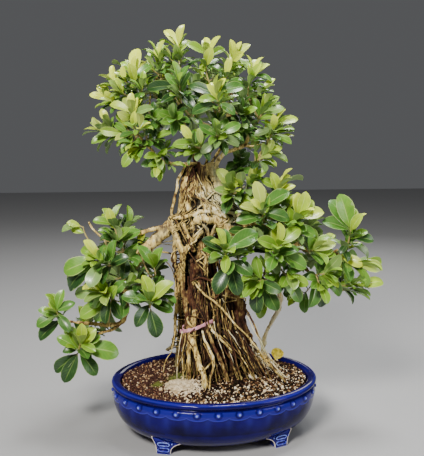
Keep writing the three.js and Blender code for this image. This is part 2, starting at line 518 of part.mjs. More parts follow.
/** Places along the given lines where a stem may sit, the nearest to a point first, with the way out there. */
function seatsOn(point, lines) {
  const seats = [];
  lines.forEach(({ line, radii, sides }) => {
    const rings = barRings(line, radii, sides ?? STEM_SIDES);
    for (let k = 0; k + 1 < line.length; k += 1) {
      const step = line[k + 1].clone().sub(line[k]);
      const ahead = step.clone().normalize();
      const parts = Math.max(1, Math.round(step.length() / SEAT_STEP));
      for (let i = 1; i <= parts; i += 1) {
        const place = line[k].clone().addScaledVector(step, i / parts);
        const end = k + 2 === line.length && i === parts;
        const out = point.clone().sub(place);
        out.addScaledVector(ahead, -out.dot(ahead)).normalize();
        const ring = rings[k].map((corner, n) => corner.clone().lerp(rings[k + 1][n], i / parts));
        const wall = end ? 0 : wallHeight(ring, place, ahead, out);
        seats.push({ distance: place.distanceTo(point), place, out: end ? ahead : out, wall, line });
      }
    }
  });
  return seats.sort((a, b) => a.distance - b.distance);
}

// The shoots: their stems first, then their leaves, each bent clear of what is there already

const shoots = [];
const stats = { placed: 0, dropped: [], seats: [] };
const random = randomSource(20);

/** The mean way in which a shoot's leaves point. */
function wayOf(node, tips) {
  const way = V(0, 0, 0.35);
  tips.forEach((tip) => way.addScaledVector(tip.clone().sub(node).normalize(), 1 / tips.length));
  return way.normalize();
}

/** The row of the spray that a shoot belongs to. */
const sprayOf = (number) => (shoots[number].host < 0 ? number : sprayOf(shoots[number].host));

/** The line of a stem from its seat to the place where its leaves meet. */
function stemLine(seat, node, way, fork) {
  const start = seat.place.clone().addScaledVector(seat.out, fork ? 0 : seat.wall + SEAT);
  const first = start.clone().addScaledVector(seat.out, fork ? 0 : 3);
  const far = node.distanceTo(first);
  const leafy = node.clone().sub(first).normalize().multiplyScalar(0.8).addScaledVector(way, 0.6).normalize();
  const middle = node.clone().addScaledVector(leafy, -Math.min(LEAFY_LENGTH, 0.6 * far));
  return fork ? [start, middle, node.clone()] : [start, first, middle, node.clone()];
}

/** Whether a stem is clear of the wood, of other stems and of their seats. */
function stemFits(line, seat, host) {
  const bodies = lengths(line, taper(line, STEM_THICK, STEM_THIN));
  return bodies.every((body, k) => woodBodies.every((other) => (
    (k === 0 && host < 0 && other.line === seat.line) || apart(body, other, 0.4))))
    && shoots.every((shoot, number) => (
      (host >= 0 && sprayOf(number) === sprayOf(host))
      || lengths(shoot.line, shoot.radii).every((other) => bodies.every((body) => apart(body, other, 1)))));
}

function addShoot(node, way, young, host, tips, count, route) {
  let line = route ? smooth([...route, node], 2) : null;
  if (!line) {
    const lines = host < 0 ? woodLines.filter((wood) => wood.carries)
      : [{ line: shoots[host].line.slice(0, -1), radii: shoots[host].radii }];
    const seats = seatsOn(node, lines).slice(0, SEAT_TRIES);
    const choice = seats.find((seat) => stemFits(stemLine(seat, node, way, host >= 0), seat, host));
    line = stemLine(choice ?? seats[0], node, way, host >= 0);
    if (!choice) {
      stats.seats.push(shoots.length);
    }
  }
  shoots.push({ node, way, young, host, tips, count, line, radii: taper(line, STEM_THICK, STEM_THIN), leaves: [] });
}

SHOOTS.forEach(([at, young, host, tips, route]) => {
  const node = sight(at);
  const ends = tips.map(([across, up, near]) => sight([across, up, at[2] - near]));
  const places = route ? route.map(sight) : null;
  addShoot(node, wayOf(node, ends), young, host, tips.slice(0, MOST_LEAVES).map((tip) => ({ tip, back: at[2] })), 0,
    places);
});
const CROWN_MIDDLE = sight([-20, 560, 10]);
const LEFT_MIDDLE = sight([-150, 330, 10]);
const RIGHT_MIDDLE = sight([150, 370, 20]);
BACK_SHOOTS.forEach(([at, young, host, count]) => {
  const node = sight(at);
  const middle = at[1] > 500 ? CROWN_MIDDLE : at[0] < 0 ? LEFT_MIDDLE : RIGHT_MIDDLE;
  const way = node.clone().sub(middle).normalize().add(V(0, 0, 0.5)).normalize();
  addShoot(node, way, young, host, [], count, null);
});

const stemBodies = shoots.flatMap((shoot, number) => lengths(shoot.line, shoot.radii)
  .map((body) => ({ ...body, number })));
const placed = [];

/** Whether a blade is clear of wood, of other sprays and of the outer parts of its own spray's leaves. */
function bladeFits(shape, number) {
  const whole = bladeBody(shape, false);
  const outer = bladeBody(shape, true);
  const spray = sprayOf(number);
  return woodBodies.every((body) => apart(whole, body, 0.8))
    && stemBodies.every((body) => sprayOf(body.number) === spray || apart(whole, body, 0.8))
    && stemBodies.every((body) => body.number === number || apart(outer, body, 0.4))
    && placed.every((leaf) => (leaf.spray === spray
      ? apart(outer, leaf.outer, 0.2) : apart(whole, leaf.whole, LEAF_GAP)));
}

/** Adds a blade to a shoot where it fits. */
function keepBlade(shape, number) {
  if (!bladeFits(shape, number)) {
    return false;
  }
  placed.push({ spray: sprayOf(number), whole: bladeBody(shape, false), outer: bladeBody(shape, true) });
  shoots[number].leaves.push(shape);
  return true;
}

/** The place on a shoot's stem where the leaf of a given rank sits, the first nearest the end. */
function downStem(shoot, rank) {
  const leafy = Math.min(LEAFY_LENGTH, 0.7 * shoot.line[0].distanceTo(shoot.node));
  let left = ((rank + 0.5) * leafy) / MOST_LEAVES;
  for (let k = shoot.line.length - 1; k > 0; k -= 1) {
    const step = shoot.line[k - 1].clone().sub(shoot.line[k]);
    if (left <= step.length() || k === 1) {
      return shoot.line[k].clone().addScaledVector(step.normalize(), Math.min(left, step.length()));
    }
    left -= step.length();
  }
  return shoot.node.clone();
}

shoots.forEach((shoot, number) => {
  const order = shoot.tips.map(({ tip: [across, up, near], back }) => (
    -sight([across, up, back - near]).sub(shoot.node).normalize().dot(shoot.way)));
  const ranks = order.map((value) => order.filter((other) => other < value).length);
  shoot.tips.forEach(({ tip: [across, up, near, square = 0.55], back }, row) => {
    const foot = downStem(shoot, ranks[row]);
    foot.addScaledVector(sight([across, up, back - near]).sub(foot).normalize(), 0.5);
    const width = LEAF_WIDTH * mix(0.92, 1.08, random());
    const kept = NEARER.some((more) => {
      const tip = sight([across, up, back - near - more]);
      const along = tip.clone().sub(foot).normalize();
      const view = EYE_POINT.clone().sub(tip).normalize();
      const natural = shoot.way.clone().addScaledVector(along, -shoot.way.dot(along)).normalize();
      if (natural.dot(view) < 0) {
        natural.addScaledVector(view, -1.6 * natural.dot(view)).normalize();
      }
      const facing = square > 0 ? natural.multiplyScalar(1 - square).addScaledVector(view, square)
        : natural.addScaledVector(view, -natural.dot(view));
      return keepBlade(blade(foot, tip, facing, width), number);
    });
    stats.placed += kept ? 1 : 0;
    if (!kept) {
      stats.dropped.push([number, row]);
    }
  });
});
shoots.forEach((shoot, number) => {
  for (let row = 0; row < shoot.count; row += 1) {
    for (let attempt = 0; attempt < 8; attempt += 1) {
      const turn = GOLDEN_ANGLE * row + random() * 0.9 + attempt * 0.8;
      const lean = mix(0.6, 1.35, row / shoot.count) + (random() - 0.5) * 0.3;
      const side = Math.abs(shoot.way.z) < 0.9 ? V(0, 0, 1).cross(shoot.way) : V(1, 0, 0).cross(shoot.way);
      side.normalize().applyAxisAngle(shoot.way, turn);
      const along = shoot.way.clone().multiplyScalar(Math.cos(lean)).addScaledVector(side, Math.sin(lean));
      const foot = downStem(shoot, row);
      foot.addScaledVector(along, 0.5);
      const tip = foot.clone().addScaledVector(along, mix(42, 54, random()));
      if (keepBlade(blade(foot, tip, shoot.way, LEAF_WIDTH * mix(0.92, 1.08, random())), number)) {
        break;
      }
    }
  }
});

// Pot

/** Points spaced equally along an oval that lies a given inset inside the pot's widest oval. */
function ovalRing(inset, height, count, phase) {
  const a = POT_HALF_LENGTH - inset;
  const b = POT_HALF_DEPTH - inset;
  const steps = 720;
  const run = [0];
  for (let i = 1; i <= steps; i += 1) {
    const from = (2 * Math.PI * (i - 1)) / steps;
    const to = (2 * Math.PI * i) / steps;
    run.push(run[i - 1] + Math.hypot(a * (Math.cos(to) - Math.cos(from)), b * (Math.sin(to) - Math.sin(from))));
  }
  const ring = [];
  for (let k = 0; k < count; k += 1) {
    const goal = (run[steps] * (k + phase)) / count;
    const i = run.findIndex((length) => length > goal) - 1;
    const turn = (2 * Math.PI * (i + (goal - run[i]) / (run[i + 1] - run[i]))) / steps;
    ring.push(V(a * Math.cos(turn), b * Math.sin(turn), height));
  }
  return ring;
}

/** A closed shell of revolution-like form from an oval profile that ends on a flat inner disc. */
function ovalSolid(profile, count, phase) {
  return loft(profile.map(([inset, height]) => ovalRing(inset, height, count, phase)));
}

function potSolid() {
  const shell = ovalSolid([...POT_OUTSIDE, ...POT_INSIDE], POT_SIDES, 0);
  const studs = [];
  const centres = ovalRing(3.5, STUD_HEIGHT, STUDS, STUD_PHASE);
  centres.forEach((centre) => {
    const out = V(centre.x / POT_HALF_LENGTH ** 2, centre.y / POT_HALF_DEPTH ** 2, 0).normalize();
    const line = [centre.clone().addScaledVector(out, -2), centre.clone().addScaledVector(out, STUD_RISE)];
    studs.push(bar(line, [5.4, 2.6], 4));
  });
  const feet = [];
  [[1, 1], [1, -1], [-1, 1], [-1, -1]].forEach(([right, deep]) => {
    const centre = V(FOOT_ACROSS * right, FOOT_DEEP * deep, 0);
    const out = V(centre.x / POT_HALF_LENGTH ** 2, centre.y / POT_HALF_DEPTH ** 2, 0).normalize();
    feet.push(footSolid(centre, out));
  });
  return joined([shell, ...studs, ...feet]);
}

/** A cloud-shaped foot: its outline stands square to the way out and is drawn in thickness. */
function footSolid(centre, out) {
  const half = [[17, 0], [18.5, 7.5], [27, 9.5], [39, 15], [36, 24]];
  const corners = [...half.map(([x, y]) => new THREE.Vector2(x, y)),
    ...half.reverse().map(([x, y]) => new THREE.Vector2(-x, y))];
  const side = V(0, 0, 1).cross(out);
  const back = centre.clone().addScaledVector(out, -9);
  const near = corners.map(({ x, y }) => back.clone().addScaledVector(side, x).add(V(0, 0, y)));
  const far = corners.map(({ x, y }) => back.clone().addScaledVector(side, x).add(V(0, 0, y))
    .addScaledVector(out, 17));
  return capped(near, far, corners);
}

/** A prism between two copies of one flat outline, which may be hollow at its sides. */
function capped(near, far, corners) {
  const count = corners.length;
  const faces = [];
  for (let i = 0; i < count; i += 1) {
    const j = (i + 1) % count;
    faces.push([i, i + count, j + count], [i, j + count, j]);
  }
  THREE.ShapeUtils.triangulateShape(corners, []).forEach(([a, b, c]) => {
    faces.push([a, b, c], [a + count, c + count, b + count]);
  });
  const prism = solid([...near, ...far], faces);
  return prism.volume() > 0 ? prism : solid([...near, ...far], faces.map(([a, b, c]) => [a, c, b]));
}

// Wood, soil and the small things

/** A line with both ends carried on by the same length. */
function stretched(line, more) {
  const last = line.length - 1;
  const longer = line.map((point) => point.clone());
  longer[0].addScaledVector(line[0].clone().sub(line[1]).normalize(), more);
  longer[last].addScaledVector(line[last].clone().sub(line[last - 1]).normalize(), more);
  return longer;
}

/** The wood, or the hole that it leaves when its surface is moved out a little. */
function woodSolid(more) {
  const middles = stretched(coreLine, more);
  const core = loft(CORE.map(([, , , wide, deep], row) => {
    const centre = middles[row];
    const ring = [];
    for (let i = 0; i < CORE_SIDES; i += 1) {
      const turn = (2 * Math.PI * i) / CORE_SIDES;
      const x = (wide + more) * Math.cos(turn);
      const y = (deep + more) * Math.sin(turn);
      ring.push(centre.clone().add(V(x * Math.cos(TURN) + y * Math.sin(TURN),
        -x * Math.sin(TURN) + y * Math.cos(TURN), 0)));
    }
    return ring.reverse();
  }));
  const bars = woodLines.map(({ line, radii, sides }) => (
    bar(stretched(line, more), radii.map((radius) => radius + more), sides)));
  return joined([core, ...bars]);
}

/** The height of the soil's surface at a place in the plan. */
function soilHeight(x, y) {
  return SOIL_EDGE + SOIL_MOUND * Math.exp(-((Math.hypot(x, y * 1.15) / SOIL_MOUND_REACH) ** 2));
}

/** A stone bedded in the soil. */
function stoneSolid(geometry, { at, half, out }, more) {
  const place = sight(at);
  const rough = geometry.clone();
  rough.deleteAttribute('normal');
  rough.deleteAttribute('uv');
  rough.scale(half[0] + more, half[1] + more, half[2] + more);
  rough.rotateZ(-TURN);
  rough.translate(place.x, place.y, soilHeight(place.x, place.y) + out - half[2]);
  const merged = mergeVertices(rough);
  return new wasm.Manifold(new wasm.Mesh({
    numProp: 3,
    vertProperties: new Float32Array(merged.attributes.position.array),
    triVerts: new Uint32Array(merged.index.array),
  }));
}

/** A flat band that stands upright along a line. */
function bandSolid(line, height, thick) {
  return loft(line.map((point, k) => {
    const ahead = line[Math.min(k + 1, line.length - 1)].clone().sub(line[Math.max(k - 1, 0)]).setZ(0).normalize();
    const side = V(-ahead.y, ahead.x, 0).multiplyScalar(thick / 2);
    const rise = V(0, 0, height / 2);
    return [
      point.clone().add(side).add(rise), point.clone().sub(side).add(rise),
      point.clone().sub(side).sub(rise), point.clone().add(side).sub(rise),
    ];
  }));
}

/** A yellow leaf that leans on the soil, its face to the front. */
function fallenLeaf({ foot, tip, width }) {
  return bladeSolid(blade(sight(foot), sight(tip), EYE_POINT.clone().sub(sight(foot)).normalize(), width));
}

function soilSolid(holes) {
  const inner = [...POT_INSIDE].reverse().map(([inset, height]) => (
    [inset + SOIL_CLEAR, Math.max(height, POT_FLOOR + SEAT)]));
  const rings = inner.map(([inset, height]) => ovalRing(inset, height, POT_SIDES, 0));
  rings.push(ovalRing(18 + SOIL_CLEAR, SOIL_EDGE, POT_SIDES, 0));
  [0.66, 0.33].forEach((share) => {
    rings.push(ovalRing(18 + SOIL_CLEAR, SOIL_EDGE, POT_SIDES, 0).map((point) => {
      const x = point.x * share;
      const y = point.y * share;
      return V(x, y, soilHeight(x, y));
    }));
  });
  return holes.reduce((form, hole) => form.subtract(hole), loft(rings));
}

// The model

const model = new THREE.Group();

function addPiece(name, form, colour, roughness, metalness = 0) {
  const { vertProperties, triVerts, numProp } = form.getMesh();
  const positions = new Float32Array((vertProperties.length / numProp) * 3);
  for (let i = 0; i < positions.length / 3; i += 1) {
    for (let axis = 0; axis < 3; axis += 1) {
      positions[i * 3 + axis] = vertProperties[i * numProp + axis];
    }
  }
  const geometry = new THREE.BufferGeometry();
  geometry.setAttribute('position', new THREE.BufferAttribute(positions, 3));
  geometry.setIndex(new THREE.BufferAttribute(new Uint32Array(triVerts), 1));
  geometry.computeVertexNormals();
  const mesh = new THREE.Mesh(geometry, new THREE.MeshStandardMaterial({ color: colour, roughness, metalness }));
  mesh.name = name;
  model.add(mesh);
}

addPiece('pot', potSolid(), 0x16268c, 0.15);
const stone = new THREE.DodecahedronGeometry(1);
const pebble = new THREE.IcosahedronGeometry(1);
const hole = woodSolid(SEAT);
const beds = [stoneSolid(stone, WHITE_STONE, SEAT), stoneSolid(pebble, PEBBLE, SEAT)];
addPiece('soil', soilSolid([hole, ...beds]), 0x7a6250, 0.95);
addPiece('white_stone', stoneSolid(stone, WHITE_STONE, 0), 0xd8ccba, 0.9);
addPiece('pebble', stoneSolid(pebble, PEBBLE, 0), 0xcfc0a8, 0.85);
addPiece('wood', woodSolid(0), 0xb79a6b, 0.85);
addPiece('tie', bandSolid(TIE.map(sight), TIE_HEIGHT, TIE_THICK).subtract(hole), 0xd98a94, 0.6);
FALLEN_LEAVES.forEach((leaf, number) => addPiece(`fallen_leaf_${number + 1}`, fallenLeaf(leaf), 0xe3c53a, 0.5));

shoots.forEach((shoot, number) => {
  if (shoot.host >= 0) {
    return;
  }
  const forms = [];
  shoots.forEach((other, row) => {
    if (sprayOf(row) === number) {
      forms.push(bar(other.line, other.radii, STEM_SIDES), ...other.leaves.map(bladeSolid));
    }
  });
  const green = new THREE.Color().setHSL(mix(0.27, 0.22, shoot.young), 0.5, mix(0.25, 0.55, shoot.young));
  addPiece(`spray_${String(number + 1).padStart(2, '0')}`, joined(forms), green, 0.4);
});

model.position.x = POT_RIGHT;
model.updateMatrixWorld(true);

export default model;
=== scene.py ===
"""A ficus bonsai in an oval glazed pot, dressed over its solid model.

The pot, the grit, the trunk of fused aerial roots, the branches and every leaf are modelled here in metres,
with +Z up, over the solids that carry them. Places on the plant are given in millimetres as across, up and
back: a point of the upright plane through the middle of the pot, as seen from the viewing point, and how far
behind that plane the place lies on the same line of sight.
"""

import logging
import math
from dataclasses import dataclass, field, replace
from enum import Enum
from typing import Sequence

import bpy
import numpy as np
from mathutils import Matrix, Vector, noise
from mathutils.bvhtree import BVHTree
from mathutils.kdtree import KDTree


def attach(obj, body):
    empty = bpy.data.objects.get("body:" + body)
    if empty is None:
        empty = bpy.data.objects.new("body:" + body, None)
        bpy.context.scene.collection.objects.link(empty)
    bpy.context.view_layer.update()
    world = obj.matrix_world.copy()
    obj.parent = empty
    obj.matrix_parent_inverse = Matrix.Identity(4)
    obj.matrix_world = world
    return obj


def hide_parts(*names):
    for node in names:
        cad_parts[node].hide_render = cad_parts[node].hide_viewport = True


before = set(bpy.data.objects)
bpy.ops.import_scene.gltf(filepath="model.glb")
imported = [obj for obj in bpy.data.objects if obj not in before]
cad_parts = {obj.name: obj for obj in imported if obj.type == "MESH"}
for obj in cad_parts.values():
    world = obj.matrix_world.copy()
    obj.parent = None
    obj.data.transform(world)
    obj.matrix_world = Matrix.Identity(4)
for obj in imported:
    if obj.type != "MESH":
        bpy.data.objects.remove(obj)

LOG = logging.getLogger("ficus")
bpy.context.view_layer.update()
MM = 0.001

# A colour by its red, green and blue, and the stops of a colour ramp
Colour = tuple[float, float, float]
Stops = Sequence[tuple[float, Colour]]

# The crown, with its smaller leaves, is above this height in millimetres
CROWN_FROM = 480

# The middles of the three masses of leaves: across, up, back
MASSES = {"crown": (-20, 560, 10), "left": (-150, 330, 10), "right": (150, 370, 20)}

# The heart of the trunk from the top down: across, up, back, half width, half depth
CORE = [
    [-34, 514, 4, 21, 19], [-37, 486, 2, 27, 22], [-32, 462, 0, 35, 24], [-24, 440, 0, 44, 26],
    [-24, 418, 0, 47, 27], [-30, 394, 0, 40, 25], [-42, 366, 4, 24, 21], [-44, 335, 6, 17, 18],
    [-42, 300, 8, 16, 18], [-36, 262, 10, 19, 21], [-26, 225, 12, 25, 25], [-12, 185, 14, 32, 32],
    [-4, 145, 16, 38, 36], [-2, 100, 18, 40, 38],
]

# Aerial and surface roots: thickness at the top and at the foot, then their route
ROOTS = [
    [3, 2.6, [[-56, 512, -8], [-66, 492, -12], [-73, 468, -12], [-77, 446, -12], [-81, 428, -12], [-80, 408,
     -12]]],
    [6.5, 6, [[-86, 404, -12], [-77, 388, -20], [-70, 370, -27], [-64, 354, -30], [-62, 335, -30]]],
    [4.5, 5, [[-22, 394, -30], [-34, 380, -33], [-46, 365, -34], [-57, 350, -31], [-62, 335, -30]]],
    [6, 5, [[-62, 338, -28], [-63, 310, -26], [-61, 280, -26], [-57, 250, -30], [-52, 222, -34], [-50, 200,
     -38]]],
    [4, 3.5, [[-77, 392, -7], [-76, 340, -8], [-73, 300, -8], [-74, 260, -10], [-76, 220, -10], [-77, 192,
     -6], [-80, 174, 6], [-83, 163, 22], [-94, 156, 44]]],
    [4, 4, [[-50, 342, -4], [-69, 312, -16], [-69, 280, -14], [-67, 240, -6], [-65, 205, 4], [-67, 175, 14],
     [-70, 150, 26], [-72, 114, 40]]],
    [3, 3, [[-44, 226, -12], [-54, 212, -30], [-60, 180, -30], [-61, 160, -22], [-61, 138, -12], [-60, 104,
     -2]]],
    [5, 4.5, [[-50, 212, -36], [-49, 190, -42], [-49, 168, -44], [-50, 146, -43], [-49, 120, -41], [-48, 92,
     -38]]],
    [5.5, 7, [[-38, 232, -34], [-41, 205, -40], [-42, 180, -46], [-39, 158, -52], [-32, 134, -58], [-25, 112,
     -64], [-20, 88, -70], [-18, 66, -72]]],
    [5, 4.5, [[-12, 352, -26], [-17, 330, -24], [-19, 302, -20], [-18, 272, -20], [-15, 245, -24]]],
    [6.5, 7, [[-4, 296, -10], [-2, 268, -16], [2, 240, -20], [5, 212, -20], [5, 185, -16], [0, 160, -14]]],
    [5, 5, [[24, 292, 4], [18, 262, 2], [16, 240, 0], [18, 218, -2], [14, 196, -4], [10, 168, -6]]],
    [11, 12, [[22, 262, 10], [34, 266, 6], [46, 256, 4], [50, 238, 4], [44, 220, 6], [34, 204, 10]]],
    [1.9, 1.7, [[-40, 292, -30], [-24, 270, -40], [-6, 256, -42], [12, 240, -40], [28, 222, -38], [43, 205,
     -36], [58, 190, -34], [72, 174, -30], [84, 158, -26], [96, 142, -22], [104, 128, -19], [120, 112, -18],
     [138, 92, -22]]],
    [1.9, 1.5, [[58, 240, 0], [70, 220, -6], [80, 200, -10], [86, 180, -12], [94, 158, -14], [104, 138, -18],
     [118, 114, -26], [136, 96, -32], [146, 78, -34]]],
    [5, 3.6, [[118, 300, 40], [124, 276, 46], [127, 254, 52], [122, 233, 58], [112, 214, 66], [103, 198, 76],
     [98, 182, 88], [95, 164, 98], [93, 146, 104], [92, 126, 106]]],
    [2.5, 2, [[-14, 212, -36], [-4, 194, -42], [12, 176, -40], [28, 160, -34], [42, 146, -24], [54, 130,
     -14], [62, 104, -4]]],
    [3.2, 3.8, [[-18, 210, -34], [-10, 184, -46], [0, 160, -50], [11, 136, -52], [20, 112, -50], [27, 88,
     -48], [30, 66, -48]]],
    [2.8, 2.4, [[-24, 224, -4], [-22, 186, -44], [-13, 164, -54], [-3, 144, -56], [-2, 122, -58], [-11, 98,
     -60], [-16, 72, -62]]],
    [5, 4, [[6, 232, 0], [26, 218, -6], [34, 196, -10], [44, 174, -10], [56, 154, -4], [68, 136, 6], [76,
     108, 18]]],
    [5, 4.5, [[12, 206, -14], [22, 182, -22], [29, 160, -28], [32, 138, -26], [34, 104, -18]]],
    [8, 6, [[48, 214, 8], [60, 192, 14], [70, 172, 30], [80, 154, 52], [88, 124, 82]]],
    [4.2, 4.2, [[-84, 416, -12], [-64, 416, -24], [-44, 421, -31], [-24, 428, -33], [-4, 427, -32], [14, 420,
     -29], [32, 408, -22]]],
    [4, 3.4, [[-30, 520, -16], [-31, 502, -20], [-34, 480, -24], [-40, 458, -28]]],
    [8, 8, [[-52, 470, -16], [-34, 454, -24], [-14, 440, -28], [6, 428, -26]]],
    [14, 12, [[4, 446, -4], [22, 434, -8], [38, 420, -8], [46, 412, -6]]],
    [12, 10, [[-8, 416, -22], [10, 406, -22], [26, 396, -18], [36, 388, -12]]],
    [8, 7, [[-36, 408, -28], [-22, 414, -30], [-6, 410, -30]]],
    [3.6, 3.2, [[-22, 404, -32], [-14, 390, -32], [-9, 374, -26], [-13, 352, -24]]],
    [3, 3, [[2, 402, -30], [-4, 388, -30], [-9, 374, -26]]],
    [4.4, 4, [[-60, 408, -24], [-54, 388, -28], [-46, 372, -30], [-40, 350, -30]]],
    [9, 8, [[-30, 372, -18], [-27, 350, -20], [-32, 326, -20], [-36, 300, -18]]],
    [5.5, 6, [[-44, 335, -26], [-42, 305, -28], [-46, 275, -28], [-42, 246, -30], [-34, 222, -32]]],
    [6, 6, [[-28, 300, -24], [-31, 272, -26], [-27, 244, -30], [-16, 220, -32], [-7, 200, -32], [-4, 178,
     -30]]],
    [12, 11, [[-6, 516, 4], [0, 494, 2], [6, 472, 0], [16, 452, -2], [28, 438, -2]]],
    [6, 6, [[-56, 466, 16], [-64, 420, 24], [-58, 350, 32], [-62, 270, 38], [-68, 180, 48], [-76, 104, 56]]],
    [6, 5.5, [[-20, 460, 22], [-18, 400, 30], [-26, 320, 36], [-14, 240, 48], [2, 170, 58], [12, 110, 64]]],
    [5.5, 5, [[10, 440, 18], [4, 380, 28], [-6, 310, 32], [22, 230, 44], [54, 164, 54], [72, 112, 58]]],
    [5, 4.5, [[-40, 430, 22], [-42, 350, 32], [-42, 270, 40], [-36, 190, 56], [-32, 120, 68]]],
]

# Branches, each from the wood that carries it out to its end: thickness at both ends, route
BRANCHES = [
    [6.5, 3, [[-14, 510, -4], [-42, 517, -10], [-70, 518, -14], [-94, 521, -18], [-107, 532, -22], [-121,
     547, -26], [-134, 561, -30], [-147, 578, -32]]],
    [8, 3, [[-6, 500, -2], [1, 513, -6], [9, 528, -10], [22, 539, -13], [40, 545, -15], [55, 552, -15], [64,
     568, -12], [69, 584, -8], [80, 597, -4], [88, 608, -2]]],
    [4, 2.6, [[54, 551, -15], [70, 550, -18], [84, 553, -20], [92, 558, -22]]],
    [3.4, 2, [[2, 508, 0], [22, 506, 3], [42, 501, 4], [60, 507, 0], [74, 517, -8], [84, 526, -16]]],
    [5.5, 3, [[-32, 512, 8], [-43, 542, 8], [-53, 575, 4], [-60, 606, -6], [-63, 642, -14], [-62, 676, -6]]],
    [5, 2.6, [[-22, 506, 6], [-9, 540, 4], [-4, 562, -8], [2, 590, -14], [1, 618, -16], [-10, 652, -12]]],
    [5, 3, [[-30, 510, 12], [-42, 540, 38], [-52, 578, 62], [-62, 616, 74], [-66, 650, 70]]],
    [5, 3, [[-22, 502, 9], [6, 536, 36], [24, 572, 54], [30, 612, 58], [30, 648, 44]]],
    [3.8, 2.4, [[-92, 521, -18], [-102, 552, -6], [-112, 588, 4], [-120, 622, 8], [-118, 656, 8], [-106, 680,
     6]]],
    [13, 7, [[-52, 404, -6], [-84, 396, -8], [-105, 378, -10], [-124, 361, -10], [-143, 343, -10], [-157,
     322, -8], [-168, 296, -6], [-172, 264, -6], [-171, 232, -8]]],
    [5.5, 3, [[-171, 236, -8], [-178, 214, -10], [-200, 206, -12], [-232, 207, -14], [-262, 210, -16], [-286,
     214, -16]]],
    [3, 2, [[-176, 214, -10], [-194, 201, -12], [-212, 192, -14], [-228, 187, -15], [-248, 172, -16]]],
    [5.5, 2.4, [[-60, 408, -6], [-88, 400, -12], [-118, 393, -16], [-148, 385, -20], [-170, 383, -24], [-182,
     389, -26]]],
    [2.4, 1.7, [[-158, 384, -20], [-184, 373, -24], [-202, 369, -26], [-218, 380, -28], [-231, 392, -30],
     [-240, 407, -30]]],
    [6.5, 2.6, [[18, 440, -6], [32, 455, -12], [46, 468, -16], [57, 476, -18]]],
    [10, 3.4, [[30, 414, -2], [56, 406, 6], [84, 398, 8], [110, 400, 2], [128, 403, -6], [138, 404, -12]]],
    [6, 2.8, [[66, 402, 8], [96, 386, 18], [130, 368, 20], [164, 357, 10], [196, 350, 6], [226, 347, 4],
     [242, 340, 2]]],
    [4.4, 2.4, [[128, 368, 20], [150, 342, 18], [172, 320, 8], [196, 300, 2], [222, 288, 0], [240, 279,
     -2]]],
    [4, 2.6, [[84, 398, 8], [98, 378, -6], [108, 364, -22], [113, 356, -32]]],
    [4.4, 2.6, [[60, 404, 6], [52, 382, -14], [38, 360, -34], [28, 346, -48]]],
    [3.6, 2.2, [[98, 378, -6], [100, 345, -14], [98, 318, -24], [94, 302, -32]]],
    [3.4, 2.2, [[226, 347, 4], [236, 354, 0]]],
    [5, 3, [[84, 398, 8], [112, 394, 44], [142, 378, 72], [168, 356, 84]]],
    [5, 3, [[-105, 378, -10], [-130, 364, 26], [-152, 340, 56], [-166, 312, 72]]],
    [4.5, 2.6, [[100, 396, 24], [112, 360, 38], [118, 328, 40], [118, 300, 40]]],
]

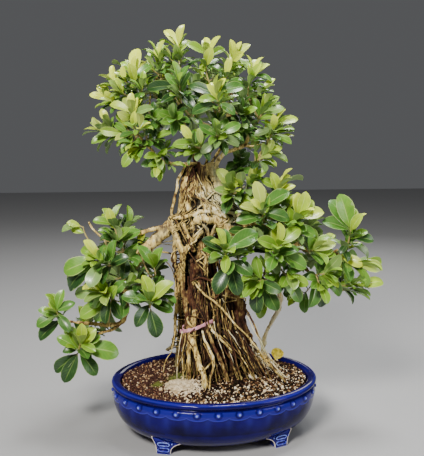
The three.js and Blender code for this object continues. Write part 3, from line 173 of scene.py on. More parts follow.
# Leafy shoots: where the leaves meet, how young they are, the shoot that it forks from (-1 for a branch), and
# the leaf tips: across, up, how much nearer than the meeting place, and how squarely the blade faces the
# viewing point; then the stem's route where it has its own
SHOOTS = [
    [[-62, 706, 0], 0.95, -1, [[-57, 773, 14], [-92, 764, -14], [-73, 737, 34], [-101, 745, -8, 0], [-97,
     716, 10, 0], [-47, 746, -16], [-28, 690, 6, 0.2]]],
    [[-16, 697, -10], 0.85, -1, [[-52, 739, 6], [-17, 748, -14], [9, 753, 6, 0.35], [-6, 732, 28], [19, 730,
     -20], [-52, 694, 8, 0.15], [12, 689, 12]]],
    [[27, 690, -5], 0.85, -1, [[65, 738, 4], [30, 746, -12], [16, 748, 4, 0.2], [52, 723, 26], [12, 713, 16,
     0], [56, 704, -14], [45, 684, 12]]],
    [[-102, 688, 5], 0.6, -1, [[-107, 733, -8], [-91, 738, -12], [-125, 727, 4, 0], [-128, 706, 22], [-80,
     706, 6]]],
    [[-148, 655, -20], 0.8, -1, [[-143, 731, -14], [-172, 707, -6], [-158, 702, 26], [-117, 700, 16], [-131,
     709, 10, 0.2], [-187, 706, -8, 0]]],
    [[-168, 646, -8], 0.75, 4, [[-220, 661, 4, 0.15], [-191, 689, -14], [-196, 672, 20], [-207, 680, -10,
     0]]],
    [[-192, 630, -2], 0.8, 5, [[-233, 647, 6], [-214, 666, -14], [-204, 652, 26], [-224, 623, 8, 0.1]]],
    [[-152, 588, -45], 0.9, -1, [[-181, 613, 34, 0.9], [-196, 629, -4], [-168, 642, -12], [-144, 641, 8],
     [-114, 622, 10], [-150, 615, 28]]],
    [[-160, 574, -30], 0.5, -1, [[-215, 581, 10], [-187, 563, 24], [-175, 538, 14]]],
    [[-198, 572, -14], 0.6, 8, [[-229, 604, 8], [-248, 573, -14, 0], [-232, 557, 12], [-221, 541, -4, 0],
     [-204, 537, -12, 0], [-206, 612, -16, 0.1]]],
    [[-132, 549, -38], 0.55, -1, [[-174, 512, 14], [-147, 521, 20], [-163, 545, -6], [-116, 556, 16]]],
    [[-106, 530, -34], 0.45, -1, [[-119, 509, 14], [-96, 505, 6], [-90, 546, 16]]],
    [[-64, 648, -45], 0.2, -1, [[-91, 685, 10], [-48, 690, -6], [-127, 657, 4], [-99, 633, 22], [-25, 641,
     14], [-61, 687, 12, 0.25], [-38, 622, 26]]],
    [[8, 624, -70], 0.75, -1, [[19, 677, 8], [-14, 665, 12], [54, 662, 6], [-47, 664, 0], [-43, 612, 18],
     [-30, 636, 24], [38, 610, 20]]],
    [[62, 657, -15], 0.65, -1, [[85, 703, 14], [52, 712, -10], [108, 670, 6, 0.3], [101, 703, -8, 0.3], [28,
     672, 12], [80, 708, -14, 0], [104, 653, 10, 0.2], [66, 695, 24]]],
    [[90, 614, -20], 0.4, -1, [[94, 649, 10], [119, 644, -8], [129, 622, 8], [72, 640, 14], [113, 606, 16]]],
    [[108, 575, -26], 0.75, -1, [[110, 609, 24], [156, 603, -4], [145, 556, 8], [150, 580, 12, 0.3], [74,
     571, 10, 0.4], [96, 600, -12]]],
    [[90, 531, -25], 0.6, -1, [[127, 549, 8], [106, 532, 24], [139, 522, -8, 0.1], [74, 540, 14], [114, 511,
     -4, 0.1]]],
    [[6, 568, -62], 0.35, -1, [[49, 592, 8], [46, 551, 16], [1, 547, 26], [-26, 538, 10], [-29, 589, 8], [22,
     569, 28]]],
    [[-34, 549, -60], 0.5, -1, [[-62, 590, 14], [-24, 588, 10], [-79, 554, 8], [-58, 534, 14], [-34, 524,
     22]]],
    [[-112, 602, -40], 0.15, -1, [[-84, 600, 6], [-98, 622, 12], [-128, 572, 20], [-126, 596, 26]]],
    [[-116, 562, -40], 0.15, 20, [[-80, 577, 14], [-93, 545, 20], [-104, 592, 10]]],
    [[-76, 600, -50], 0.1, -1, [[-105, 614, 10], [-99, 594, 22], [-56, 575, 14], [-60, 612, 24], [-78, 571,
     18]]],
    [[48, 612, -30], 0.1, -1, [[78, 622, 10], [32, 596, 12], [62, 584, 14], [50, 645, 0]]],
    [[40, 575, -22], 0.1, 23, [[70, 580, 12], [26, 574, 10], [50, 560, 16]]],
    [[42, 526, 6], 0.1, -1, [[64, 520, 10], [24, 520, 12], [46, 508, 14], [66, 538, 6]]],
    [[-190, 393, -30], 0.45, -1, [[-202, 433, 12], [-178, 442, -6, 0.3], [-232, 410, 10], [-213, 424, -12],
     [-222, 391, 16], [-163, 422, 6, 0.3]]],
    [[-184, 368, -38], 0.3, -1, [[-218, 378, 8], [-163, 396, 12], [-142, 391, -10]]],
    [[-203, 322, -55], 0.5, -1, [[-292, 311, 4], [-247, 350, 20], [-262, 297, 14], [-284, 276, -10], [-242,
     281, 22], [-191, 372, 8], [-255, 358, -12], [-251, 337, 30], [-216, 287, 30], [-166, 340, 14]]],
    [[-251, 397, -28], 0.5, 28, [[-282, 406, 6, 0.3], [-292, 389, 10], [-274, 396, -6]], [[-203, 322, -55],
     [-210, 342, -42], [-226, 357, -32], [-240, 371, -30], [-248, 386, -28]]],
    [[-204, 268, -45], 0.6, -1, [[-271, 268, 12], [-262, 221, 4], [-232, 213, 8], [-181, 217, 14], [-190,
     282, 26], [-172, 293, 4], [-233, 239, 16, 0.2]]],
    [[-300, 221, -20], 0.5, -1, [[-292, 276, 6], [-342, 237, 8], [-347, 203, 12], [-343, 176, 4], [-282, 192,
     28], [-270, 250, 10]]],
    [[-266, 150, -22], 0.6, -1, [[-307, 182, 8], [-232, 199, 10], [-186, 148, -4], [-314, 111, 6], [-296, 89,
     14], [-231, 104, 8], [-233, 153, 32], [-297, 152, 16], [-222, 184, -8]]],
    [[-114, 304, -35], 0.2, -1, [[-101, 358, 12], [-145, 362, 6], [-127, 345, 18]]],
    [[-125, 241, -55], 0.45, 33, [[-180, 263, 10], [-138, 304, 12], [-80, 291, 8], [-153, 202, 16], [-111,
     180, 10], [-80, 233, -6]]],
    [[-165, 335, -28], 0.15, -1, [[-147, 365, 10], [-140, 332, 16], [-176, 296, 20]]],
    [[34, 464, -26], 0.65, -1, [[5, 508, 10], [0, 470, 12], [48, 492, 6, 0.4]]],
    [[68, 481, -24], 0.65, 36, [[71, 512, 10], [99, 509, 6], [60, 494, 20]]],
    [[93, 414, -40], 0.55, -1, [[77, 485, 12], [99, 463, 20], [141, 466, 8], [50, 458, 10], [41, 408, 14],
     [143, 412, 10], [48, 438, 16], [69, 449, 26]]],
    [[117, 452, -18], 0.75, 38, [[107, 501, 14], [141, 498, 4], [88, 487, 10], [152, 478, 8, 0.3], [166, 490,
     -10, 0]]],
    [[148, 405, -25], 0.6, -1, [[157, 463, 16], [187, 449, -4], [208, 428, 6], [142, 435, 20], [193, 381,
     10], [176, 392, 24]]],
    [[22, 338, -62], 0.65, -1, [[-24, 375, 12], [19, 394, 10], [83, 387, 8], [73, 306, 16], [2, 267, 14],
     [46, 264, 10], [20, 309, 38, 0.9], [-13, 332, -12]]],
    [[92, 294, -42], 0.45, -1, [[79, 341, 14], [82, 228, 16], [122, 234, 8], [129, 272, 34], [68, 267, 4],
     [49, 293, -12]]],
    [[118, 350, -45], 0.55, -1, [[118, 404, 14], [83, 374, 18], [163, 396, 6], [161, 353, 16], [177, 318, 8],
     [97, 336, 20], [119, 310, 14]]],
    [[200, 306, -20], 0.4, -1, [[242, 343, 14], [247, 309, 6], [244, 263, 10], [184, 240, 12], [208, 240,
     -4], [172, 302, 18]]],
    [[138, 304, -38], 0.4, 43, [[181, 285, 14], [166, 250, 18], [116, 303, 10]]],
    [[186, 352, -22], 0.5, -1, [[232, 366, 10], [181, 376, 18], [207, 326, 16], [226, 345, -6]]],
    [[255, 365, -10], 0.5, -1, [[205, 409, 14], [219, 450, -4, 0.5], [238, 461, 4], [281, 422, 16], [305,
     372, 8], [258, 438, -14], [296, 337, 6, 0.3], [262, 390, 26], [292, 390, 10], [240, 345, 14]]],
    [[250, 327, -8], 0.5, 47, [[323, 318, 6], [284, 322, 16], [294, 279, 10], [322, 332, -6, 0.2], [262, 292,
     14]]],
    [[250, 274, -5], 0.55, 48, [[304, 225, 6, 0.3], [274, 290, 14], [253, 213, 10], [326, 292, -6, 0.4],
     [296, 309, -10, 0.3]]],
    [[62, 396, -30], 0.15, -1, [[54, 366, 12], [96, 381, 10], [43, 378, 16]]],
]

# Shoots round the back: where the leaves meet, how young they are, the shoot that it forks from, leaves
BACK_SHOOTS = [
    [[-66, 668, 92], 0.7, -1, 4], [[-110, 640, 84], 0.5, 51, 4], [[-20, 650, 96], 0.6, 51, 4],
    [[30, 662, 66], 0.6, -1, 4], [[66, 606, 84], 0.4, 54, 4], [[-140, 600, 62], 0.5, -1, 4],
    [[-92, 584, 104], 0.4, -1, 4], [[-34, 600, 122], 0.5, -1, 4], [[12, 592, 108], 0.4, 58, 4],
    [[40, 552, 76], 0.3, -1, 4], [[-186, 366, 66], 0.4, -1, 4], [[-148, 330, 104], 0.4, -1, 4],
    [[-190, 296, 84], 0.5, 62, 4], [[-206, 240, 44], 0.4, -1, 4], [[166, 392, 96], 0.4, -1, 4],
    [[196, 356, 108], 0.5, 65, 4], [[214, 316, 60], 0.5, 66, 4], [[120, 416, 66], 0.4, -1, 4],
]

# The soft tie round the front roots
TIE = [
    [-67, 193, -20], [-61, 193, -32], [-54, 194, -44.5], [-48, 195, -47], [-41, 197, -48], [-33, 200, -45.5],
    [-18, 207, -39.5], [-10, 211, -40.5], [-4, 213, -36],
]

# The loop of the tie's knot
TIE_LOOP = [
    [-58, 194, -38], [-62, 199, -34], [-60, 204, -30], [-53, 203, -30], [-47, 200, -40], [-52, 196, -46],
]

# How light the bark is, from 0 red brown to 1 pale, by the row of the root and of the branch
ROOT_TONES = {
    0: 0.85, 1: 0.8, 2: 0.72, 3: 0.68, 4: 0.85, 5: 0.6, 6: 0.55, 7: 0.9, 8: 0.98, 9: 0.8, 10: 0.65, 11: 0.6,
    12: 0.65, 13: 1.0, 14: 0.7, 15: 1.0, 16: 1.0, 17: 0.7, 18: 1.15, 19: 0.5, 20: 0.6, 21: 0.5, 22: 0.9,
    23: 0.4, 24: 0.7, 25: 0.85, 26: 0.75, 27: 0.75, 28: 0.5, 29: 0.55, 30: 0.72, 31: 0.5, 32: 0.45, 33: 0.55,
    34: 0.7, 35: 0.5, 36: 0.5, 37: 0.45, 38: 0.5,
}
BRANCH_TONES = {
    0: 0.9, 1: 1.0, 2: 0.95, 3: 0.95, 8: 0.8, 9: 0.85, 10: 0.75, 12: 0.7, 13: 0.9, 14: 1.0, 15: 0.8,
}

# The rows of the branches that are thinner than their solids
SLIM_BRANCHES = (0, 1, 2, 3, 4, 5, 6, 7, 8, 14)

# Fine roots: thickness at the top and at the foot, how light, then their route
FINE_ROOTS = [
    (1.0, 0.8, 0.7, [(-95, 334, -14), (-85, 320, -14), (-77, 303, -15), (-73, 285, -16)]),
    (1.7, 1.4, 0.9, [(-12, 204, -44), (14, 180, -36), (42, 154, -28), (65, 135, -20), (78, 110, -18)]),
    (2.0, 1.5, 0.8, [(37, 178, -30), (60, 154, -24), (79, 137, -18), (92, 112, -16)]),
    (1.4, 1.1, 1.5, [(68, 224, -6), (79, 204, -6), (88, 178, -6), (100, 151, -5), (117, 124, -5), (138, 98,
    -5)]),
    (1.3, 1.1, 1.5, [(94, 163, 10), (108, 142, 5), (123, 118, -1), (144, 97, -9)]),
    (1.2, 1.0, 0.9, [(91, 148, -8), (73, 141, -12), (51, 123, -16), (44, 102, -18)]),
    (2.0, 1.7, 0.9, [(-21, 169, -50), (-6, 139, -55), (-3, 118, -62), (-9, 94, -70), (-11, 72, -79)]),
    (1.2, 1.0, 1.35, [(8, 133, -52), (20, 113, -47), (30, 92, -40)]),
    (1.6, 1.3, 0.25, [(50, 151, -10), (63, 131, -19), (89, 106, -32), (106, 91, -47), (124, 74, -64)]),
    (1.1, 0.9, 0.9, [(48, 148, -20), (54, 124, -21), (66, 97, -22)]),
    (1.0, 0.8, 1.35, [(-63, 192, -48), (-67, 170, -44), (-71, 145, -38), (-73, 122, -34), (-74, 94, -34)]),
    (1.1, 0.9, 1.2, [(-56, 190, -46), (-60, 166, -44), (-63, 143, -42), (-62, 123, -42), (-61, 90, -42)]),
    (1.0, 0.8, 0.9, [(-76, 196, -40), (-80, 172, -34), (-85, 151, -26), (-95, 134, -20), (-100, 110, -18)]),
    (1.2, 1.0, 0.15, [(-36, 279, -34), (-44, 255, -34), (-50, 227, -35), (-56, 200, -35), (-58, 176, -36)]),
    (1.3, 1.0, 0.1, [(-28, 271, -38), (-30, 245, -38), (-36, 220, -39), (-42, 188, -40)]),
    (1.0, 0.9, 0.2, [(-51, 302, -38), (-47, 275, -38), (-38, 247, -39), (-22, 220, -39), (-11, 196, -40)]),
    (1.1, 0.9, 0.12, [(-18, 287, -36), (-24, 263, -36), (-22, 235, -37), (-13, 204, -37), (-1, 176, -38)]),
    (1.4, 1.2, 0.3, [(-59, 372, -30), (-51, 353, -30), (-40, 336, -31), (-28, 318, -31), (-22, 295, -32)]),
    (1.6, 1.2, 0.55, [(-74, 411, -32), (-62, 388, -32), (-51, 369, -33), (-41, 349, -34)]),
    (1.2, 1.0, 0.1, [(-54, 514, -26), (-50, 491, -26), (-54, 468, -27), (-49, 444, -28)]),
    (1.0, 0.9, 0.15, [(-43, 514, -24), (-37, 491, -24), (-43, 464, -25), (-35, 438, -26)]),
    (1.0, 0.8, 0.6, [(-22, 514, -20), (-26, 491, -20), (-18, 468, -21), (-9, 442, -22)]),
    (2.0, 1.8, 0.15, [(-47, 293, -34), (-32, 299, -34), (-15, 295, -35), (-1, 289, -36)]),
    (1.4, 1.2, 0.85, [(-36, 330, -30), (-20, 341, -31), (-5, 353, -32)]),
    (1.3, 1.1, 0.9, [(18, 184, -34), (34, 163, -26), (42, 139, -15), (50, 108, -2)]),
    (1.2, 1.0, 1.2, [(69, 180, -20), (77, 155, -16), (93, 135, -12), (105, 106, -10)]),
    (2.4, 2.0, 0.75, [(-61, 332, -30), (-59, 287, -30), (-59, 241, -30), (-54, 196, -30)]),
    (1.3, 1.1, 0.3, [(-45, 314, -34), (-48, 259, -34), (-40, 214, -34)]),
    (2.6, 2.2, 0.6, [(-40, 281, -30), (-32, 249, -30), (-24, 218, -30), (-17, 188, -30)]),
    (3.0, 2.5, 0.7, [(-13, 279, -22), (-7, 247, -22), (-11, 212, -22), (-5, 176, -22)]),
    (2.6, 2.2, 0.55, [(1, 281, -14), (7, 251, -14), (3, 218, -14), (13, 180, -14)]),
    (1.1, 0.9, 1.35, [(14, 259, -20), (32, 220, -20), (50, 180, -20), (73, 139, -20)]),
    (1.0, 0.8, 1.35, [(-17, 220, -34), (3, 188, -34), (28, 151, -34), (42, 111, -34)]),
    (0.9, 0.8, 1.2, [(-48, 196, -40), (-54, 166, -40), (-68, 131, -40)]),
    (1.0, 0.8, 1.3, [(63, 227, -14), (77, 196, -14), (91, 170, -14), (108, 131, -14)]),
    (1.6, 1.4, 0.9, [(18, 302, -16), (22, 271, -16), (14, 239, -16)]),
    (1.1, 0.9, 1.5, [(55, 180, -26), (73, 155, -8), (93, 135, 10), (113, 111, 29)]),
    (1.0, 0.8, 1.35, [(42, 192, -32), (63, 166, -10), (87, 138, 18), (105, 108, 47)]),
    (1.0, 0.8, 1.4, [(26, 196, -44), (46, 166, -30), (69, 135, -14), (87, 108, 10)]),
    (1.0, 0.8, 1.5, [(69, 166, -20), (93, 151, 2), (118, 131, 24), (146, 106, 46)]),
    (0.9, 0.8, 1.35, [(95, 151, -20), (77, 143, -16), (56, 133, -10), (40, 112, -2)]),
    (1.0, 0.9, 0.25, [(104, 139, -20), (85, 131, -4), (64, 112, 12)]),
    (1.2, 1.0, 0.35, [(63, 155, -30), (81, 127, -24), (93, 99, -18)]),
    (1.0, 0.8, 1.3, [(-1, 212, -52), (5, 180, -44), (18, 147, -36), (26, 112, -30)]),
]

# Rows of hanging roots: ends of the upper and of the lower line, how many, thickness and tone from and to.
# The dark tones of the rows within the trunk are painted shade.
CURTAINS = [
    ([(-60, 330, 8), (-8, 330, 8)], [(-72, 104, 4), (4, 104, 6)], 24, 1.6, 3.4, 0.0, 0.25),
    ([(2, 290, 20), (52, 250, 26)], [(8, 104, 24), (98, 104, 38)], 22, 1.8, 4.4, 0.0, 0.45),
    ([(-52, 330, -16), (-14, 330, -16)], [(-60, 196, -30), (2, 216, -28)], 9, 0.9, 1.9, 0.0, 0.9),
    ([(4, 235, -28), (52, 214, -20)], [(28, 100, -40), (124, 96, -24)], 16, 0.9, 2.0, 0.5, 1.0),
    ([(-50, 224, -34), (-10, 226, -38)], [(-66, 98, -34), (14, 92, -58)], 12, 0.9, 2.0, 0.4, 1.0),
    ([(10, 300, 0), (44, 250, 0)], [(24, 104, -4), (84, 104, 6)], 14, 1.4, 3.0, 0.1, 0.5),
    ([(-46, 312, -24), (-14, 300, -24)], [(-52, 176, -40), (4, 176, -42)], 9, 0.7, 1.5, 0.1, 0.9),
    ([(-14, 372, 12), (12, 340, 20)], [(4, 216, 40), (66, 176, 44)], 13, 1.3, 3.0, 0.2, 0.8),
    ([(-50, 330, 26), (4, 330, 32)], [(-66, 106, 36), (34, 106, 54)], 12, 0.8, 1.8, 0.5, 1.1),
    ([(8, 284, 36), (50, 240, 40)], [(24, 106, 52), (104, 106, 56)], 11, 0.8, 1.8, 0.5, 1.1),
]

# Lichen on the wood: across, up, its half width and half height, how dense
LICHEN = [
    (22, 462, 30, 28, 1.0), (4, 500, 15, 20, 0.85), (34, 428, 20, 14, 0.9), (-18, 398, 24, 12, 0.4),
    (96, 166, 9, 15, 1.0), (52, 478, 16, 14, 1.0), (-96, 378, 26, 20, 0.3),
]

# Where the bark is lighter or darker: across, up, half width, half height, how much. The darker spots are
# painted shade over the trunk's recessed parts.
BARK_SHIFTS = [
    (-4, 450, 62, 62, 0.36), (-40, 508, 18, 24, -0.55), (46, 240, 34, 70, -0.45), (50, 150, 60, 50, -0.4),
    (-38, 270, 24, 60, -0.4), (-10, 150, 60, 45, -0.35), (-40, 216, 18, 22, -0.8),
]

# Holes in the front of the trunk: across, up, half width, half height, how deep. Their fronts are also
# painted dark, as painted shade.
HOLLOWS = [(-38, 503, 4.5, 9, 6), (-36, 443, 9, 10, 11), (-11, 396, 8, 7, 8)]

# How young some leaves are, by the row of their shoot and of their tip
FRESH_LEAVES = {
    (41, 6): 1.0, (7, 0): 1.0, (38, 6): 1.0, (38, 7): 0.9, (13, 0): 1.0, (13, 1): 0.85, (13, 2): 0.3,
    (13, 3): 0.25, (13, 4): 0.35, (41, 0): 0.3, (41, 1): 0.35, (41, 2): 0.5, (47, 1): 0.4, (47, 2): 0.2,
}

# Shoots with leaves of their own size: how long a grown leaf is, how many are added
SHOOT_SIZES = {26: (42.0, 6), 28: (46.0, 14), 29: (30.0, 0), 31: (44.0, 9), 33: (50.0, 6), 35: (44.0, 3),
               47: (44.0, 12)}

# Small shoots that fill gaps: the shoot that carries them, their place, how young they are, how many leaves
SIDE_SHOOTS = [
    (30, (-166, 282, -42), 0.4, 7), (30, (-158, 252, -30), 0.3, 6), (34, (-152, 300, -30), 0.3, 6),
    (42, (100, 262, -20), 0.35, 6), (44, (168, 262, 0), 0.3, 6), (43, (146, 330, -40), 0.4, 6),
]


class Signal:
    """A shader socket that adds Math nodes when it is used in an expression."""

    def __init__(self, graph: "Graph", socket: bpy.types.NodeSocket) -> None:
        """Keeps the graph and the socket that carries the value."""
        self.graph = graph
        self.socket = socket

    def math(self, operation: str, *others: "Signal | float", clamp: bool = False) -> "Signal":
        """Adds one Math node.

        Args:
            operation: The node's operation.
            others: The further operands.
            clamp: Whether the result is held between 0 and 1.

        Returns:
            The result.
        """
        settings = {"operation": operation, "use_clamp": clamp}
        return self.graph.node("Math", settings, dict(enumerate((self, *others))))

    def __add__(self, other: "Signal | float") -> "Signal":
        """Adds."""
        return self.math("ADD", other)

    def __mul__(self, other: "Signal | float") -> "Signal":
        """Multiplies."""
        return self.math("MULTIPLY", other)

    def __sub__(self, other: "Signal | float") -> "Signal":
        """Subtracts."""
        return self.math("SUBTRACT", other)

    def __rsub__(self, other: float) -> "Signal":
        """Subtracts from a number."""
        return self.math("MULTIPLY", -1.0) + other

    __radd__ = __add__
    __rmul__ = __mul__

    def step(self, low: float, high: float) -> "Signal":
        """Rises smoothly from 0 at low to 1 at high."""
        settings = {"interpolation_type": "SMOOTHSTEP"}
        if low < high:
            return self.graph.node("MapRange", settings, {0: self, 1: low, 2: high})
        return self.graph.node("MapRange", settings, {0: self, 1: high, 2: low, 3: 1.0, 4: 0.0})


class Graph:
    """The node tree of one material, with one method that makes every node."""

    def __init__(self, name: str) -> None:
        """Starts a material with its Principled shader."""
        self.material = bpy.data.materials.new(name)
        self.material.use_nodes = True
        self.tree = self.material.node_tree
        self.shader = self.tree.nodes["Principled BSDF"]

    def node(self, kind: str, settings: dict | None = None, inputs: dict | None = None,
             out: int | str = 0) -> Signal:
        """Makes a node.

        Args:
            kind: The node's type without its ShaderNode prefix.
            settings: Its properties, and the stops of a colour ramp.
            inputs: Values or signals by socket name or number.
            out: The output that is returned.

        Returns:
            The chosen output.
        """
        made = self.tree.nodes.new("ShaderNode" + kind)
        for key, value in (settings or {}).items():
            if key == "stops":
                self._set_stops(made.color_ramp, value)
            else:
                setattr(made, key, value)
        for key, value in (inputs or {}).items():
            self.feed(made.inputs[key], value)
        return Signal(self, made.outputs[out])

    @staticmethod
    def _set_stops(ramp: bpy.types.ColorRamp, stops: Stops) -> None:
        """Gives a colour ramp its stops."""
        while len(ramp.elements) < len(stops):
            ramp.elements.new(1.0)
        for element, (place, colour) in zip(ramp.elements, stops):
            element.position = place
            element.color = (*colour, 1.0)

    def feed(self, socket: bpy.types.NodeSocket, value: object) -> None:
        """Links a signal to a socket, or sets the socket's own value."""
        if isinstance(value, Signal):
            self.tree.links.new(value.socket, socket)
        elif isinstance(value, tuple) and len(value) == 3 and socket.type == "RGBA":
            socket.default_value = (*value, 1.0)
        else:
            socket.default_value = value

    def attribute(self, name: str) -> Signal:
        """The value that the mesh stores under a name."""
        return self.node("Attribute", {"attribute_name": name}, out="Fac")

    def grain(self, scale: float, detail: float = 3.0, stretch: Sequence[float] = (1.0, 1.0, 1.0)) -> Signal:
        """Soft noise by features per metre, on object coordinates stretched along the axes."""
        spot = self.node("Mapping", {}, {"Vector": self.node("TexCoord", out="Object"), "Scale": stretch})
        return self.node("TexNoise", {}, {"Vector": spot, "Scale": scale, "Detail": detail})

    def blend(self, share: "Signal | float", first: object, second: object) -> Signal:
        """Mixes two colours by a share."""
        return self.node("Mix", {"data_type": "RGBA"}, {0: share, 6: first, 7: second}, out=2)

    def ramp(self, value: Signal, stops: Stops) -> Signal:
        """Turns a value into a colour."""
        return self.node("ValToRGB", {"stops": stops}, {0: value})

    def bump(self, height: Signal, strength: float, distance: float) -> None:
        """Lets a height shape the shader's normal."""
        inputs = {"Height": height, "Strength": strength, "Distance": distance}
        self.set("Normal", self.node("Bump", {}, inputs))

    def set(self, name: str, value: object) -> None:
        """Sets or links an input of the Principled shader."""
        self.feed(self.shader.inputs[name], value)


@dataclass(frozen=True)
class LeafFinish:
    """Waxy leaves: yellow green when young, dark when old, with a pale midrib and a pale margin that is
    partly a painted highlight.
    """

    old: Colour = (0.012, 0.05, 0.008)
    grown: Colour = (0.088, 0.24, 0.026)
    fresh: Colour = (0.24, 0.42, 0.018)
    young: Colour = (0.6, 0.7, 0.045)
    pale: Colour = (0.75, 0.82, 0.32)
    rim: Colour = (0.3, 0.46, 0.1)
    under: Colour = (0.24, 0.34, 0.12)
    stem: Colour = (0.42, 0.3, 0.12)
    roughness: float = 0.34
    coat: float = 0.12

    def paint(self, graph: Graph) -> None:
        """Lays the nodes of the surface.

        Args:
            graph: The material's node tree.
        """
        across = graph.attribute("across").math("ABSOLUTE")
        along = graph.attribute("along")
        age = graph.attribute("age")
        under = graph.attribute("under")
        stops = [(0.0, self.old), (0.35, self.grown), (0.7, self.fresh), (1.0, self.young)]
        mottle = graph.grain(90.0, 4.0) - 0.5
        face = graph.ramp(age + mottle * 0.25, stops)
        veins = (along * 60.0 - across * 14.0).math("SINE").step(0.2, 1.0)
        face = graph.blend(veins * 0.025, face, self.pale)
        face = graph.blend(under * 0.55 + graph.attribute("dust") * 0.45, face, self.under)
        midrib = across.step(0.09, 0.03) * along.step(1.0, 0.7)
        # The pale margin is partly the leaf's own pale edge and partly a painted highlight along it
        margin_and_highlight = across.step(0.9, 0.98)
        line = graph.blend((age * 1.3).math("MINIMUM", 1.0), self.rim, self.pale)
        face = graph.blend(midrib * 0.36 + margin_and_highlight * 0.6, face, line)
        stem = graph.attribute("stem")
        face = graph.blend(stem, face, graph.blend(age * 0.6, self.stem, self.fresh))
        graph.set("Base Color", face)
        graph.set("Roughness", under * 0.25 + stem * 0.3 + mottle * 0.15 + self.roughness)
        graph.set("Coat Weight", self.coat)
        graph.set("Coat Roughness", 0.12)
        graph.bump(veins * 0.12 + midrib * -0.8 + mottle * 0.4, 0.3, 0.0006)


@dataclass(frozen=True)
class BarkFinish:
    """Bark of old aerial roots: tan ridges, ochre and red brown fibres, painted shade in the hollows, lichen
    on top.
    """

    white: Colour = (0.94, 0.84, 0.55)
    light: Colour = (0.86, 0.64, 0.2)
    tan: Colour = (0.4, 0.27, 0.075)
    brown: Colour = (0.11, 0.052, 0.018)
    red: Colour = (0.07, 0.022, 0.008)
    # Near black for the painted shade in the crevices and holes of the wood
    dark: Colour = (0.006, 0.003, 0.0015)
    lichen: Colour = (0.58, 0.64, 0.4)
    moss: Colour = (0.09, 0.11, 0.02)

    def paint(self, graph: Graph) -> None:
        """Lays the nodes of the surface.

        Args:
            graph: The material's node tree.
        """
        tone = graph.attribute("tone")
        hollow = graph.attribute("hollow")
        lichen = graph.attribute("lichen")
        broad = graph.grain(60.0, 4.0, (1.0, 1.0, 0.35))
        fibre = graph.grain(420.0, 5.0, (1.0, 1.0, 0.16))
        speck = graph.grain(900.0, 3.0)
        knob = graph.grain(190.0, 3.0, (1.0, 1.0, 0.6))
        share = tone * 0.85 + (broad - 0.5) * 1.3 + (fibre - 0.5) * 1.3 + (knob - 0.5) * 1.2
        stops = [(0.0, self.red), (0.22, self.brown), (0.48, self.tan), (0.78, self.light), (1.0, self.white)]
        face = graph.ramp(share * 0.84, stops)
        face = graph.blend(knob.step(0.43, 0.34) * 0.75, face, self.red)
        patch = (speck.step(0.4, 0.6) * 0.5 + 0.5) * lichen
        face = graph.blend(patch, face, self.lichen)
        face = graph.blend(graph.attribute("moss") * broad.step(0.4, 0.6), face, self.moss)
        # Painted shade: the wood turns near black in its crevices and holes, by the stored shade value
        face = graph.blend((hollow * 2.1).math("MINIMUM", 0.97), face, self.dark)
        graph.set("Base Color", face)
        graph.set("Roughness", (broad - 0.5) * 0.2 + 0.82)
        graph.set("Specular IOR Level", 0.3)
        graph.bump(fibre * 0.7 + speck * 0.35 + broad * 0.4 + knob * 0.8, 0.9, 0.0014)


@dataclass(frozen=True)
class GlazeFinish:
    """Deep cobalt glaze, paler where it runs thin on edges and in the studded band, worn on the feet, with
    painted shade darkening the lower body.
    """

    deep: Colour = (0.0015, 0.0002, 0.018)
    cobalt: Colour = (0.006, 0.0009, 0.105)
    thin: Colour = (0.035, 0.035, 0.4)
    pale: Colour = (0.25, 0.34, 0.85)
    clay: Colour = (0.72, 0.64, 0.54)

    def paint(self, graph: Graph) -> None:
        """Lays the nodes of the surface.

        Args:
            graph: The material's node tree.
        """
        thin = graph.attribute("thin")
        worn = graph.attribute("worn")
        cloud = graph.grain(26.0, 4.0) - 0.5
        speck = graph.grain(700.0, 3.0)
        # Painted shade: lower on the body the glaze turns to the deep colour, besides its random clouds
        strong = (cloud * 1.6 + 0.72 - graph.attribute("low") * 0.7).step(0.0, 1.0)
        face = graph.blend(strong, self.deep, self.cobalt)
        face = graph.blend((thin * 1.5).math("MINIMUM", 1.0), face, self.thin)
        face = graph.blend(thin.step(0.62, 1.0), face, self.pale)
        bare = (worn + (graph.grain(160.0, 5.0) - 0.5) * 0.9 - 0.25).step(0.2, 0.45) * worn.step(0.05, 0.2)
        face = graph.blend(bare, face, self.clay)
        graph.set("Base Color", face)
        graph.set("Roughness", bare * 0.5 + speck * 0.05 + 0.07)
        graph.set("Specular IOR Level", 0.1)
        graph.set("Coat Weight", (1.0 - bare) * 0.15)
        graph.set("Coat Roughness", 0.04)
        graph.bump(graph.grain(130.0, 2.0) * 0.6 + speck * 0.12, 0.25, 0.0008)


@dataclass(frozen=True)
class GritFinish:
    """Loose grit of brown, maroon, beige and white grains."""

    stops: tuple = (
        (0.0, (0.006, 0.003, 0.002)), (0.22, (0.035, 0.014, 0.008)), (0.45, (0.12, 0.055, 0.025)),
        (0.62, (0.34, 0.2, 0.085)), (0.8, (0.7, 0.5, 0.26)), (1.0, (0.95, 0.85, 0.64)),
    )
    moss: Colour = (0.14, 0.17, 0.03)
    maroon: Colour = (0.2, 0.08, 0.065)

    def paint(self, graph: Graph) -> None:
        """Lays the nodes of the surface.

        Args:
            graph: The material's node tree.
        """
        tone = graph.attribute("tone") + (graph.grain(900.0, 3.0) - 0.5) * 0.25
        face = graph.ramp(tone, self.stops)
        face = graph.blend(graph.attribute("pink") * 0.22, face, self.maroon)
        face = graph.blend(graph.attribute("moss") * 0.8, face, self.moss)
        graph.set("Base Color", face)
        graph.set("Roughness", 0.9)
        graph.set("Specular IOR Level", 0.12)
        graph.bump(graph.grain(1500.0, 3.0), 0.6, 0.0006)


